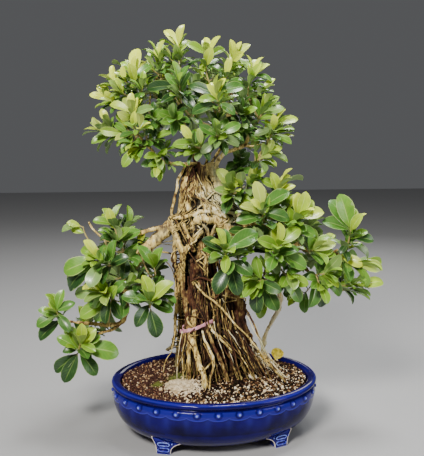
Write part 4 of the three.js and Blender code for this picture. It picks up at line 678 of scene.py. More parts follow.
@dataclass(frozen=True)
class PlainFinish:
    """A mottled finish for the small things."""

    colour: Colour
    other: Colour
    scale: float
    roughness: float
    relief: float
    coat: float = 0.0
    specks: float = 0.0

    def paint(self, graph: Graph) -> None:
        """Lays the nodes of the surface.

        Args:
            graph: The material's node tree.
        """
        spots = graph.grain(self.scale, 4.0)
        face = graph.blend(spots.step(0.4, 0.62), self.colour, self.other)
        pits = graph.grain(self.scale * 2.4, 2.0).step(0.6, 0.68)
        graph.set("Base Color", graph.blend(pits * self.specks, face, (0.09, 0.06, 0.035)))
        graph.set("Roughness", spots * 0.1 + self.roughness)
        graph.set("Coat Weight", self.coat)
        graph.bump(graph.grain(self.scale * 3.0, 4.0), 0.6, self.relief)


class Finish(Enum):
    """The finishes of this plant and its pot."""

    LEAF = LeafFinish()
    BARK = BarkFinish()
    GLAZE = GlazeFinish()
    GRIT = GritFinish()
    PALE_STONE = PlainFinish((0.5, 0.38, 0.22), (0.8, 0.67, 0.45), 130.0, 0.85, 0.0014, specks=0.85)
    PEBBLE = PlainFinish((0.6, 0.5, 0.34), (0.85, 0.78, 0.6), 220.0, 0.7, 0.0005, specks=0.4)
    TIE = PlainFinish((0.6, 0.24, 0.3), (0.78, 0.4, 0.48), 160.0, 0.5, 0.0004)
    YELLOW_LEAF = PlainFinish((0.62, 0.48, 0.02), (0.93, 0.78, 0.06), 170.0, 0.42, 0.0006, 0.1, 0.35)
    OCHRE_LEAF = PlainFinish((0.72, 0.46, 0.08), (0.88, 0.66, 0.2), 170.0, 0.5, 0.0006, 0.05, 0.4)

    def material(self) -> bpy.types.Material:
        """The material of this finish, made when it is first asked for."""
        name = "finish_" + self.name.lower()
        if name not in bpy.data.materials:
            self.value.paint(Graph(name))
        return bpy.data.materials[name]


def unit(vector: np.ndarray) -> np.ndarray:
    """A vector of length one in the same direction."""
    return vector / max(float(np.linalg.norm(vector)), 1e-12)


def mix(first: float, second: float, share: float) -> float:
    """A value between two values."""
    return first + (second - first) * share


@dataclass(frozen=True)
class Viewpoint:
    """The viewing point, and the upright plane in which places on the plant are given."""

    across: float = -5.0
    up: float = 569.0
    away: float = 1324.0
    turn: float = math.radians(8.0)
    pitch: float = math.radians(7.46)
    pot_right: float = 8.0

    def place(self, spot: Sequence[float]) -> np.ndarray:
        """The place seen at (across, up) and back behind the middle plane.

        Args:
            spot: Across and up in the plane, and how far back, all in millimetres.

        Returns:
            The place in millimetres, with the pot's middle at zero.
        """
        across, up = spot[0], spot[1]
        back = spot[2] if len(spot) > 2 else 0.0
        share = back / self.away
        x, y = self.plan(across + (across - self.across) * share, back)
        return np.array([x, y, up + (up - self.up) * share])

    def plan(self, right: "float | np.ndarray", back: "float | np.ndarray") -> tuple:
        """A place in the plan of the pot, from how far right and how far back it is seen."""
        sine, cosine = math.sin(self.turn), math.cos(self.turn)
        return right * cosine + back * sine, -right * sine + back * cosine

    def seen(self, points: np.ndarray) -> tuple[np.ndarray, np.ndarray]:
        """Where points of the plant, in metres, are seen: across and up, in millimetres."""
        place = points / MM - np.array([self.pot_right, 0.0, 0.0])
        sine, cosine = math.sin(self.turn), math.cos(self.turn)
        share = (place[:, 0] * sine + place[:, 1] * cosine) / self.away
        across = (place[:, 0] * cosine - place[:, 1] * sine + self.across * share) / (1 + share)
        return across, (place[:, 2] + self.up * share) / (1 + share)

    def eye(self) -> np.ndarray:
        """The viewing point in millimetres."""
        return np.array([*self.plan(self.across, -self.away), self.up])

    def metres(self, points: np.ndarray) -> np.ndarray:
        """Turns millimetres about the pot's middle into metres about the plant's origin."""
        return (np.asarray(points, dtype=float) + np.array([self.pot_right, 0.0, 0.0])) * MM


VIEW = Viewpoint()
EYE_POINT = VIEW.eye()


class RandomSource:
    """A repeatable source of numbers between 0 and 1, the same as the solids use."""

    def __init__(self, seed: int) -> None:
        """Starts the source from a seed."""
        self.state = seed

    def __call__(self) -> float:
        """The next number."""
        word_mask = 0xFFFFFFFF
        self.state = (self.state + 0x6D2B79F5) & word_mask
        word = ((self.state ^ (self.state >> 15)) * (1 | self.state)) & word_mask
        word = ((word + (((word ^ (word >> 7)) * (61 | word)) & word_mask)) & word_mask) ^ word
        return ((word ^ (word >> 14)) & word_mask) / 4294967296


def smooth(points: Sequence[np.ndarray], steps: int) -> list[np.ndarray]:
    """A smooth line through points.

    Args:
        points: The points.
        steps: The number of steps between each two.

    Returns:
        The finer line.
    """
    line = []
    for k in range(len(points) - 1):
        before = points[max(k - 1, 0)]
        after = points[min(k + 2, len(points) - 1)]
        out = (points[k + 1] - before) * 0.5
        into = (after - points[k]) * 0.5
        for i in range(steps):
            t = i / steps
            line.append(points[k] * (2 * t**3 - 3 * t**2 + 1) + out * (t**3 - 2 * t**2 + t)
                        + points[k + 1] * (-2 * t**3 + 3 * t**2) + into * (t**3 - t**2))
    line.append(points[-1].copy())
    return line


def taper(line: Sequence[np.ndarray], start: float, end: float) -> list[float]:
    """Radii that run evenly from one end of a line to the other."""
    return [mix(start, end, k / (len(line) - 1)) for k in range(len(line))]


def across_of(ahead: np.ndarray) -> np.ndarray:
    """A direction square to a given one, level where that isn't upright."""
    return np.cross((0.0, 0.0, 1.0) if abs(ahead[2]) < 0.9 else (1.0, 0.0, 0.0), ahead)


def bar_rings(line: Sequence[np.ndarray], radii: Sequence[float], sides: int) -> np.ndarray:
    """The rings of a round bar along a line, each square to the line and turned as little as it can be.

    Args:
        line: The line.
        radii: The radius at each point.
        sides: The number of sides.

    Returns:
        An array of rings of points.
    """
    turns = np.arange(sides) * 2 * math.pi / sides
    side, rings = None, []
    for k, (point, radius) in enumerate(zip(line, radii)):
        ahead = unit(line[min(k + 1, len(line) - 1)] - line[max(k - 1, 0)])
        side = across_of(ahead) if side is None else side
        side = unit(side - ahead * side.dot(ahead))
        upper = np.cross(ahead, side)
        rings.append(point + radius * (np.outer(np.cos(turns), side) + np.outer(np.sin(turns), upper)))
    return np.array(rings)


def tube_faces(rings: int, sides: int, closed: bool = True) -> list[tuple[int, ...]]:
    """The faces between rings of points, and across both ends where the tube is closed.

    Args:
        rings: The number of rings.
        sides: The number of points in each.
        closed: Whether both ends have a face.

    Returns:
        The faces by point number.
    """
    faces = []
    for k in range(rings - 1):
        for i in range(sides):
            j = (i + 1) % sides
            faces.append((k * sides + i, k * sides + j, (k + 1) * sides + j, (k + 1) * sides + i))
    ends = [tuple(reversed(range(sides))), tuple(range((rings - 1) * sides, rings * sides))]
    return faces + ends if closed else faces


def link(name: str, data: bpy.types.ID) -> bpy.types.Object:
    """Makes an object of a mesh, a light or a camera and puts it in the scene."""
    made = bpy.data.objects.new(name, data)
    bpy.context.scene.collection.objects.link(made)
    return made


class MeshMaker:
    """Collects points, faces and values, and makes one mesh of them."""

    def __init__(self, names: Sequence[str], face_names: Sequence[str] = ()) -> None:
        """Starts an empty mesh with the named values of its points and faces."""
        self.points: list[np.ndarray] = []
        self.faces: list[tuple[int, ...]] = []
        self.values: dict[str, list[np.ndarray]] = {name: [] for name in names}
        self.face_values: dict[str, list[float]] = {name: [] for name in face_names}
        self.count = 0

    def add(self, points: np.ndarray, faces: Sequence[Sequence[int]], **values: "float | np.ndarray") -> None:
        """Adds a closed form.

        Args:
            points: Its points in millimetres about the pot's middle.
            faces: Its faces by point number.
            values: One number or an array for each named value; those left out are 0.
        """
        start = self.count
        self.points.append(points)
        self.faces.extend(tuple(start + i for i in face) for face in faces)
        for name, kept in self.values.items():
            kept.append(np.broadcast_to(np.asarray(values.get(name, 0.0), dtype=float), (len(points),)))
        for name, marks in self.face_values.items():
            marks.extend(np.broadcast_to(np.asarray(values.get(name, 0.0), dtype=float), (len(faces),)))
        self.count += len(points)

    def add_bar(self, line: list[np.ndarray], radii: list[float], sides: int, **values: float) -> None:
        """Adds a round bar with pointed ends.

        Args:
            line: Its middle line.
            radii: The radius at each point.
            sides: The number of sides.
            values: The named values.
        """
        rings = bar_rings(line, radii, sides)
        count = len(line)
        first = line[0] - unit(line[1] - line[0]) * radii[0] * 0.5
        last = line[-1] + unit(line[-1] - line[-2]) * radii[-1] * 0.5
        points = np.vstack([rings.reshape(-1, 3), first, last])
        faces = tube_faces(count, sides, closed=False)
        for i in range(sides):
            j = (i + 1) % sides
            faces.append((count * sides, j, i))
            faces.append((count * sides + 1, (count - 1) * sides + i, (count - 1) * sides + j))
        self.add(points, faces, **values)

    def make(self, name: str) -> bpy.types.Object:
        """Makes the mesh object.

        Args:
            name: The piece's name.

        Returns:
            The object, smooth all over.
        """
        mesh = bpy.data.meshes.new(name)
        mesh.from_pydata(VIEW.metres(np.vstack(self.points)), [], self.faces)
        for label, kept in self.values.items():
            layer = mesh.attributes.new(label, "FLOAT", "POINT")
            layer.data.foreach_set("value", np.concatenate(kept).astype(np.float32))
        for label, marks in self.face_values.items():
            layer = mesh.attributes.new(label, "FLOAT", "FACE")
            layer.data.foreach_set("value", np.array(marks, dtype=np.float32))
        mesh.shade_smooth()
        return link(name, mesh)


def dress(piece: bpy.types.Object, finish: Finish, slot: str, *nodes: str) -> None:
    """Gives a piece its finish, lets it ride on the plant and puts it in place of its solids.

    Args:
        piece: The piece.
        finish: Its finish.
        slot: The record's material slot; it is not used.
        nodes: The solids that it stands for.
    """
    piece.data.materials.clear()
    piece.data.materials.append(finish.material())
    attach(piece, "root")
    if nodes:
        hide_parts(*nodes)
    LOG.info("%s: %d triangles", piece.name, sum(len(face.vertices) - 2 for face in piece.data.polygons))


def select_only(piece: bpy.types.Object) -> None:
    """Selects one object alone and makes it active."""
    bpy.ops.object.select_all(action="DESELECT")
    piece.select_set(True)
    bpy.context.view_layer.objects.active = piece


def finish_modifiers(piece: bpy.types.Object) -> None:
    """Applies all modifiers of a piece in their order."""
    select_only(piece)
    for modifier in list(piece.modifiers):
        bpy.ops.object.modifier_apply(modifier=modifier.name)


def fuse(piece: bpy.types.Object, voxel: float, rounds: int) -> None:
    """Fuses the forms of a piece into one skin and evens it.

    Args:
        piece: The piece.
        voxel: The size of the steps, in metres.
        rounds: How often the skin is evened.
    """
    remesh = piece.modifiers.new("fuse", "REMESH")
    remesh.mode = "VOXEL"
    remesh.voxel_size = voxel
    even = piece.modifiers.new("even", "SMOOTH")
    even.iterations = rounds
    finish_modifiers(piece)


def smooth_by_angle(piece: bpy.types.Object, degrees: float) -> None:
    """Shades a piece smooth up to an angle between its faces."""
    select_only(piece)
    bpy.ops.object.shade_smooth_by_angle(angle=math.radians(degrees))


def points_of(piece: bpy.types.Object) -> np.ndarray:
    """The points of a mesh, in metres."""
    points = np.empty(len(piece.data.vertices) * 3)
    piece.data.vertices.foreach_get("co", points)
    return points.reshape(-1, 3)


def template(piece: bpy.types.Object) -> tuple[np.ndarray, list[tuple[int, ...]]]:
    """Takes the points and faces of an object that is then removed."""
    form = points_of(piece), [tuple(face.vertices) for face in piece.data.polygons]
    bpy.data.objects.remove(piece)
    return form


def move_points(piece: bpy.types.Object, points: np.ndarray) -> None:
    """Puts the points of a mesh at new places."""
    piece.data.vertices.foreach_set("co", points.astype(np.float32).ravel())
    piece.data.update()


def normals_of(piece: bpy.types.Object) -> np.ndarray:
    """The directions out of a mesh at its points."""
    normals = np.empty(len(piece.data.vertices) * 3, dtype=np.float32)
    piece.data.vertex_normals.foreach_get("vector", normals)
    return normals.reshape(-1, 3).astype(float)


def store(piece: bpy.types.Object, name: str, values: np.ndarray) -> None:
    """Stores one value for each point of a mesh."""
    layer = piece.data.attributes.new(name, "FLOAT", "POINT")
    layer.data.foreach_set("value", np.asarray(values, dtype=np.float32))


def rough(points: np.ndarray, size: float, stretch: Sequence[float] = (1.0, 1.0, 1.0),
          octaves: int = 3) -> np.ndarray:
    """Soft noise at each point, about -1 to 1.

    Args:
        points: The places, in any unit.
        size: The size of the largest features in that unit.
        stretch: How much longer the features are along each axis.
        octaves: The number of finer layers.

    Returns:
        One value for each point.
    """
    scaled = points / (size * np.asarray(stretch))
    return np.array([noise.fractal(Vector(spot), 0.9, 2.1, octaves) for spot in scaled])


def bulges(piece: bpy.types.Object, rounds: int) -> np.ndarray:
    """How far each point stands proud of its neighbourhood, in metres.

    Args:
        piece: The mesh.
        rounds: How far the neighbourhood reaches, in edges.

    Returns:
        One length for each point, positive on edges and knobs.
    """
    points = points_of(piece)
    edges = np.empty(len(piece.data.edges) * 2, dtype=np.int64)
    piece.data.edges.foreach_get("vertices", edges)
    first, second = edges.reshape(-1, 2).T
    count = np.bincount(first, minlength=len(points)) + np.bincount(second, minlength=len(points))
    even = points.copy()
    for _ in range(rounds):
        total = np.zeros_like(even)
        for axis in range(3):
            total[:, axis] = (np.bincount(first, even[second, axis], len(points))
                              + np.bincount(second, even[first, axis], len(points)))
        even = even * 0.4 + 0.6 * total / np.maximum(count, 1)[:, None]
    return ((points - even) * normals_of(piece)).sum(axis=1)


@dataclass(frozen=True)
class Body:
    """What a blade or a straight length takes up, for tests of clearance."""

    points: np.ndarray
    axes: np.ndarray
    radius: float
    middle: np.ndarray
    reach: float


class Crowd:
    """Bodies of one kind, each with the numbers of the things that it belongs to."""

    def __init__(self, corners: int, ways: int) -> None:
        """Starts empty, for bodies with so many corners and directions."""
        self.points = np.zeros((0, corners, 3))
        self.axes = np.zeros((0, ways, 3))
        self.radii = np.zeros(0)
        self.middles = np.zeros((0, 3))
        self.reaches = np.zeros(0)
        self.owners = np.zeros(0, dtype=int)
        self.sprays = np.zeros(0, dtype=int)

    def add(self, bodies: Sequence[Body], owner: int, spray: int = -1) -> None:
        """Adds bodies that belong to one owner and one spray."""
        self.points = np.concatenate([self.points, [body.points for body in bodies]])
        self.axes = np.concatenate([self.axes, [body.axes for body in bodies]])
        self.radii = np.append(self.radii, [body.radius for body in bodies])
        self.middles = np.concatenate([self.middles, [body.middle for body in bodies]])
        self.reaches = np.append(self.reaches, [body.reach for body in bodies])
        self.owners = np.append(self.owners, [owner] * len(bodies))
        self.sprays = np.append(self.sprays, [spray] * len(bodies))

    def all_apart(self, body: Body, gap: float, chosen: "np.ndarray | bool" = True) -> bool:
        """Whether some direction shows a gap between a body and each of the chosen ones.

        Args:
            body: The body.
            gap: The least gap.
            chosen: A mark for each body of this crowd, or one for all.

        Returns:
            Whether it is clear of them all.
        """
        far = np.linalg.norm(self.middles - body.middle, axis=1)
        near = np.flatnonzero(chosen & (far <= self.reaches + body.reach + gap))
        if not len(near):
            return True
        between = self.middles[near] - body.middle
        ours = np.broadcast_to(body.axes, (len(near), *body.axes.shape))
        theirs = self.axes[near]
        crossed = np.cross(ours[:, :, None], theirs[:, None]).reshape(len(near), -1, 3)
        facing_ours = np.cross(np.cross(ours, between[:, None]), ours)
        facing_theirs = np.cross(np.cross(theirs, between[:, None]), theirs)
        ways = np.concatenate([between[:, None], ours, theirs, crossed, facing_ours, facing_theirs], axis=1)
        sizes = np.linalg.norm(ways, axis=2)
        ways = ways / np.maximum(sizes, 1e-6)[:, :, None]
        first = np.einsum("pk,ndk->ndp", body.points, ways)
        second = np.einsum("npk,ndk->ndp", self.points[near], ways)
        gaps = np.maximum(second.min(-1) - first.max(-1), first.min(-1) - second.max(-1))
        wide = (gap + body.radius + self.radii[near])[:, None]
        return bool(((gaps > wide) & (sizes > 1e-6)).any(axis=1).all())


@dataclass
class WoodLine:
    """The middle line of a root or branch, with its radii."""

    line: list[np.ndarray]
    radii: list[float]
    sides: int
    carries: bool


@dataclass
class Blade:
    """One leaf blade from its foot to its tip."""

    foot: np.ndarray
    tip: np.ndarray
    along: np.ndarray
    face: np.ndarray
    side: np.ndarray
    width: float
    age: float = 0.5


@dataclass
class Seat:
    """A place on a line where a stem may sit."""

    distance: float
    place: np.ndarray
    out: np.ndarray
    wall: float
    line: int


@dataclass
class Shoot:
    """A leafy shoot: where its leaves meet, the way it points, and its stem."""

    node: np.ndarray
    way: np.ndarray
    young: float
    host: int
    tips: list
    count: int
    line: list[np.ndarray]
    radii: list[float]
    leaves: list[Blade] = field(default_factory=list)
    thick: tuple[float, float] = (2.1, 1.15)
    leafy: float = 17.0
    taken: list[float] = field(default_factory=list)
    leaf_size: float = 0.0


def lengths(line: Sequence[np.ndarray], radii: Sequence[float]) -> list[Body]:
    """Short straight lengths of a line with their radii."""
    bodies = []
    for k in range(len(line) - 1):
        start, end = line[k], line[k + 1]
        radius = max(radii[k], radii[k + 1])
        reach = float(np.linalg.norm(end - start)) / 2 + radius
        bodies.append(Body(np.array([start, end]), unit(end - start)[None], radius, (start + end) / 2, reach))
    return bodies


def make_blade(foot: np.ndarray, tip: np.ndarray, facing: np.ndarray, width: float) -> Blade:
    """A blade from its foot to its tip, its face turned along a given direction."""
    along = unit(tip - foot)
    face = unit(facing - along * facing.dot(along))
    return Blade(foot, tip, along, face, np.cross(along, face), width)


def blade_body(blade: Blade, outer_only: bool) -> Body:
    """What a blade, or its outer part alone, takes up.

    Args:
        blade: The blade.
        outer_only: Whether the foot is left out.

    Returns:
        The body.
    """
    length = float(np.linalg.norm(blade.tip - blade.foot))

    def at(t: float, w: float, lift: float = 0.0) -> np.ndarray:
        """A place on the blade."""
        rise = length * (0.1 * 4 * t * (1 - t) * 0.5 + 0.16 * blade.width * abs(w)) + lift
        right = blade.side * length * blade.width * w
        return blade.foot + blade.along * length * t + right + blade.face * rise

    outline = [at(0, 0), at(0.42, 0.86), at(0.8, 0.94), at(1, 0), at(0.8, -0.94), at(0.42, -0.86)]
    points = np.array([*outline[1 if outer_only else 0:], at(0.55, 0), at(0.55, 0, -1.4)])
    middle = points.mean(axis=0)
    reach = float(np.linalg.norm(points - middle, axis=1).max())
    return Body(points, np.array([blade.along, blade.face, blade.side]), 0.0, middle, reach)


@dataclass
class Growth:
    """Places the stems and leaves on the wood, each bent clear of what is there already."""

    stem_thick: float = 2.3
    stem_thin: float = 1.5
    leafy: float = 17.0
    most_leaves: int = 6
    leaf_width: float = 0.235
    crown_leaf: float = 41.0
    lower_leaf: float = 52.0
    fill_leaves: int = 12
    side_count: int = 3
    seed: int = 20
    nearer: tuple[float, ...] = (0, 9, -9, 18, -18, 27, -27, 36, -36, 46, -46)
    golden_angle: float = math.radians(137.5)
    wood: list[WoodLine] = field(default_factory=list)
    shoots: list[Shoot] = field(default_factory=list)

    def __post_init__(self) -> None:
        """Lays the wood's lines and starts the crowds."""
        self.random = RandomSource(self.seed)
        self.wood_crowd = Crowd(2, 1)
        self.stem_crowd = Crowd(2, 1)
        self.whole_crowd = Crowd(8, 3)
        self.outer_crowd = Crowd(7, 3)
        for rows, carries in ((ROOTS, False), (BRANCHES, True)):
            for start, end, route in rows:
                line = [VIEW.place(spot) for spot in route]
                sides = 3 + sum(start > step for step in (3.1, 7, 10))
                self.wood.append(WoodLine(line, taper(line, start, end), sides, carries))
        for number, bar in enumerate(self.wood):
            self.wood_crowd.add(lengths(bar.line, bar.radii), number)
        core = [VIEW.place(ring) for ring in CORE]
        self.wood_crowd.add(lengths(core, [ring[3] * 0.95 for ring in CORE]), -1)

    def spray_of(self, number: int) -> int:
        """The shoot that carries a shoot's whole spray."""
        host = self.shoots[number].host
        return number if host < 0 else self.spray_of(host)

    def wall_height(self, ring: np.ndarray, middle: np.ndarray, ahead: np.ndarray, out: np.ndarray) -> float:
        """How far a bar's surface stands out from its middle in a given way, over the width of a stem."""
        across = np.cross(ahead, out)
        corners = [(float((point - middle).dot(across)), float((point - middle).dot(out))) for point in ring]
        height = 0.0
        for i, (u, h) in enumerate(corners):
            v, g = corners[(i + 1) % len(corners)]
            for place in (-self.stem_thick, self.stem_thick, u, v):
                share = 0.0 if u == v else (place - u) / (v - u)
                if abs(place) <= self.stem_thick and 0 <= share <= 1:
                    height = max(height, mix(h, g, share))
        return height

    def seats_on(self, point: np.ndarray, lines: Sequence[tuple[int, list, list, int]]) -> list[Seat]:
        """Places along lines where a stem may sit, the nearest to a point first."""
        seats = []
        for number, line, radii, sides in lines:
            rings = bar_rings(line, radii, sides)
            for k in range(len(line) - 1):
                step = line[k + 1] - line[k]
                ahead = unit(step)
                parts = max(1, math.floor(float(np.linalg.norm(step)) / 6 + 0.5))
                for i in range(1, parts + 1):
                    place = line[k] + step * (i / parts)
                    end = k + 2 == len(line) and i == parts
                    out = point - place
                    out = unit(out - ahead * out.dot(ahead))
                    ring = rings[k] + (rings[k + 1] - rings[k]) * (i / parts)
                    wall = 0.0 if end else self.wall_height(ring, place, ahead, out)
                    distance = float(np.linalg.norm(place - point))
                    seats.append(Seat(distance, place, ahead if end else out, wall, number))
        return sorted(seats, key=lambda seat: seat.distance)

    def stem_line(self, seat: Seat, node: np.ndarray, way: np.ndarray, fork: bool) -> list[np.ndarray]:
        """The line of a stem from its seat to the place where its leaves meet."""
        start = seat.place + seat.out * (0.0 if fork else seat.wall + 0.3)
        first = start + seat.out * (0.0 if fork else 3.0)
        far = float(np.linalg.norm(node - first))
        into = unit(unit(node - first) * 0.8 + way * 0.6)
        middle = node - into * min(self.leafy, 0.6 * far)
        return [start, middle, node.copy()] if fork else [start, first, middle, node.copy()]

    def stem_fits(self, line: Sequence[np.ndarray], seat: Seat, host: int) -> bool:
        """Whether a stem is clear of the wood, of other stems and of their seats."""
        bodies = lengths(line, taper(line, self.stem_thick, self.stem_thin))
        for k, body in enumerate(bodies):
            chosen = self.wood_crowd.owners != seat.line if k == 0 and host < 0 else True
            if not self.wood_crowd.all_apart(body, 0.4, chosen):
                return False
        spray = self.spray_of(host) if host >= 0 else -2
        others = self.stem_crowd.sprays != spray
        return all(self.stem_crowd.all_apart(body, 1.0, others) for body in bodies)

    def add_shoot(self, node: np.ndarray, way: np.ndarray, young: float, host: int, tips: list, count: int,
                  route: list | None = None) -> None:
        """Adds a shoot with the first stem that fits."""
        if route:
            line = smooth([*route, node], 2)
        else:
            if host < 0:
                lines = [(k, bar.line, bar.radii, bar.sides)
                         for k, bar in enumerate(self.wood) if bar.carries]
            else:
                lines = [(-2, self.shoots[host].line[:-1], self.shoots[host].radii, 3)]
            seats = self.seats_on(node, lines)[:40]
            tries = ((seat, self.stem_line(seat, node, way, host >= 0)) for seat in seats)
            line = next((line for seat, line in tries if self.stem_fits(line, seat, host)),
                        self.stem_line(seats[0], node, way, host >= 0))
        radii = taper(line, self.stem_thick, self.stem_thin)
        self.shoots.append(Shoot(node, way, young, host, tips, count, line, radii))
        number = len(self.shoots) - 1
        self.stem_crowd.add(lengths(line, radii), number, self.spray_of(number))

    def fits(self, blade: Blade, number: int, ease: float = 1.0) -> bool:
        """Whether a blade is clear of wood, of other sprays and of the outer parts of its own spray's leaves.

        Args:
            blade: The blade.
            number: Its shoot.
            ease: 1 for the full clearances, less for smaller ones.

        Returns:
            Whether it fits.
        """
        whole, outer = blade_body(blade, False), blade_body(blade, True)
        spray = self.spray_of(number)
        own = self.whole_crowd.sprays == spray
        return (self.wood_crowd.all_apart(whole, 0.8 * ease)
                and self.stem_crowd.all_apart(whole, 0.8 * ease, self.stem_crowd.sprays != spray)
                and self.stem_crowd.all_apart(outer, 0.4 * ease, self.stem_crowd.owners != number)
                and self.outer_crowd.all_apart(outer, 0.2 * ease, own)
                and self.whole_crowd.all_apart(whole, 1.1 * ease, ~own))

    def keep(self, blade: Blade, number: int, age: float, ease: float = 1.0) -> bool:
        """Adds a blade to a shoot where it fits."""
        fits = self.fits(blade, number, ease)
        if fits:
            self.register(blade, number, age)
        return fits

    def down_stem(self, shoot: Shoot, rank: float) -> np.ndarray:
        """The place on a shoot's stem where the leaf of a given rank sits, the first nearest the end."""
        leafy = min(self.leafy, 0.7 * float(np.linalg.norm(shoot.line[0] - shoot.node)))
        return self.stem_point(shoot, (rank + 0.5) * leafy / self.most_leaves)

    def stem_point(self, shoot: Shoot, down: float) -> np.ndarray:
        """The place so far down a shoot's stem from its end."""
        left = down
        for k in range(len(shoot.line) - 1, 0, -1):
            step = shoot.line[k - 1] - shoot.line[k]
            size = float(np.linalg.norm(step))
            if left <= size or k == 1:
                return shoot.line[k] + unit(step) * min(left, size)
            left -= size
        return shoot.node.copy()

    def place_front(self, number: int, first: int, last: int, ease: float) -> None:
        """Places the leaves of a shoot whose tips are given.

        Args:
            number: The shoot.
            first: The first of its tips.
            last: The tip after the last.
            ease: How much of the full clearance they keep.
        """
        shoot = self.shoots[number]
        ends = [VIEW.place((across, up, back - near)) for (across, up, near, *_), back in shoot.tips]
        order = [-float(unit(end - shoot.node).dot(shoot.way)) for end in ends]
        for row in range(first, min(last, len(ends))):
            (across, up, near, *rest), back = shoot.tips[row]
            square = rest[0] if rest else 0.55
            group = order[:self.most_leaves] if row < self.most_leaves else order
            rank = sum(other < order[row] for other in group)
            foot = self.down_stem(shoot, rank)
            foot = foot + unit(ends[row] - foot) * 0.5
            width = self.leaf_width * mix(0.92, 1.08, self.random())
            age = FRESH_LEAVES.get((number, row), min(1.0, shoot.young * (1.1 - 0.5 * rank / 6) + 0.12))
            for more in self.nearer:
                tip = VIEW.place((across, up, back - near - more))
                along = unit(tip - foot)
                view = unit(EYE_POINT - tip)
                natural = unit(shoot.way - along * shoot.way.dot(along))
                if natural.dot(view) < 0:
                    natural = unit(natural - view * 1.6 * natural.dot(view))
                if square > 0:
                    facing = natural * (1 - square) + view * square
                else:
                    facing = natural - view * natural.dot(view)
                if self.keep(make_blade(foot, tip, facing, width), number, age, ease):
                    break

    def spiral(self, shoot: Shoot, turn: float, lean: float) -> np.ndarray:
        """The direction of a leaf that leans from a shoot's way at a turn round it."""
        side = unit(across_of(shoot.way))
        side = side * math.cos(turn) + np.cross(shoot.way, side) * math.sin(turn)
        return shoot.way * math.cos(lean) + side * math.sin(lean)

    def place_back(self, number: int) -> None:
        """Places the leaves of a shoot that follow the rule of the spiral."""
        shoot = self.shoots[number]
        for row in range(shoot.count):
            for attempt in range(8):
                turn = self.golden_angle * row + self.random() * 0.9 + attempt * 0.8
                lean = mix(0.6, 1.35, row / shoot.count) + (self.random() - 0.5) * 0.3
                along = self.spiral(shoot, turn, lean)
                foot = self.down_stem(shoot, row) + along * 0.5
                tip = foot + along * mix(42, 54, self.random())
                width = self.leaf_width * mix(0.92, 1.08, self.random())
                if self.keep(make_blade(foot, tip, shoot.way, width), number, shoot.young * 0.9 + 0.1):
                    break

    def seat_leaf(self, shoot: Shoot, blade: Blade) -> Blade:
        """The blade with its foot moved along the stem until the leaf has its true size.

        Args:
            shoot: The shoot that carries it.
            blade: The blade of the solids.

        Returns:
            The blade at its true size.
        """
        size = self.true_size(shoot) * mix(0.88, 1.06, self.random())
        best = None
        for down in np.linspace(0.5, shoot.leafy, 16):
            place = self.stem_point(shoot, float(down))
            crowding = sum(abs(down - other) < 2.5 for other in shoot.taken)
            cost = abs(float(np.linalg.norm(blade.tip - place)) - size) + 2.5 * crowding
            if best is None or cost < best[0]:
                best = (cost, float(down), place)
        shoot.taken.append(best[1])
        return make_blade(best[2], blade.tip, blade.face, blade.width)

    def true_size(self, shoot: Shoot) -> float:
        """The length of a grown leaf on a shoot: shorter in the crown."""
        return shoot.leaf_size or (self.crown_leaf if shoot.node[2] > CROWN_FROM else self.lower_leaf)

    def register(self, blade: Blade, number: int, age: float) -> None:
        """Adds a blade to a shoot as it is."""
        spray = self.spray_of(number)
        blade.age = age
        self.whole_crowd.add([blade_body(blade, False)], number, spray)
        self.outer_crowd.add([blade_body(blade, True)], number, spray)
        self.shoots[number].leaves.append(blade)

    def refine(self) -> None:
        """Draws the shoots out and gives the leaves their true size, spread along the stems."""
        self.stem_crowd, self.whole_crowd, self.outer_crowd = Crowd(2, 1), Crowd(8, 3), Crowd(7, 3)
        for number, shoot in enumerate(self.shoots):
            longest = max((float(np.linalg.norm(leaf.tip - leaf.foot)) for leaf in shoot.leaves), default=0.0)
            more = min(28.0, max(2.0, longest - self.true_size(shoot)))
            shoot.line.append(shoot.node + shoot.way * more)
            shoot.node = shoot.line[-1]
            shoot.radii = taper(shoot.line, *shoot.thick)
            shoot.leafy = self.leafy + more
            self.stem_crowd.add(lengths(shoot.line, shoot.radii), number, self.spray_of(number))
        for number, shoot in enumerate(self.shoots):
            leaves, shoot.leaves = shoot.leaves, []
            for leaf in leaves:
                self.register(self.seat_leaf(shoot, leaf), number, leaf.age)

    def side_shoots(self, number: int, count: int) -> None:
        """Lets small shoots branch off a shoot's stem where there is room.

        Args:
            number: The shoot.
            count: How many are tried.
        """
        shoot = self.shoots[number]
        crown = shoot.node[2] > CROWN_FROM
        for row in range(count):
            for attempt in range(5):
                turn = self.golden_angle * (row + attempt * 0.7) + self.random() * 2
                along = self.spiral(shoot, turn, mix(0.7, 1.35, self.random()))
                start = self.stem_point(shoot, shoot.leafy * mix(0.7, 1.3, self.random()))
                size = mix(16, 32, self.random())
                node = start + along * size + np.array([0, 0, size * 0.15])
                line = [start, start + along * size * 0.5, node]
                bodies = lengths(line[1:], [1.2, 0.9])
                if not all(self.wood_crowd.all_apart(body, 1) and self.whole_crowd.all_apart(body, 0.5)
                           for body in bodies):
                    continue
                way = unit(along + shoot.way * 0.5 + np.array([0, 0, 0.4]))
                young = max(0.05, shoot.young * mix(0.6, 1.0, self.random()))
                self.shoots.append(Shoot(node, way, young, number, [], 0, line, [1.3, 1.1, 0.9],
                                         thick=(1.4, 0.9), leafy=size * 0.7))
                side = len(self.shoots) - 1
                self.stem_crowd.add(bodies, side, self.spray_of(side))
                self.fill(side, 7, 0.88 if crown else 0.9)
                break

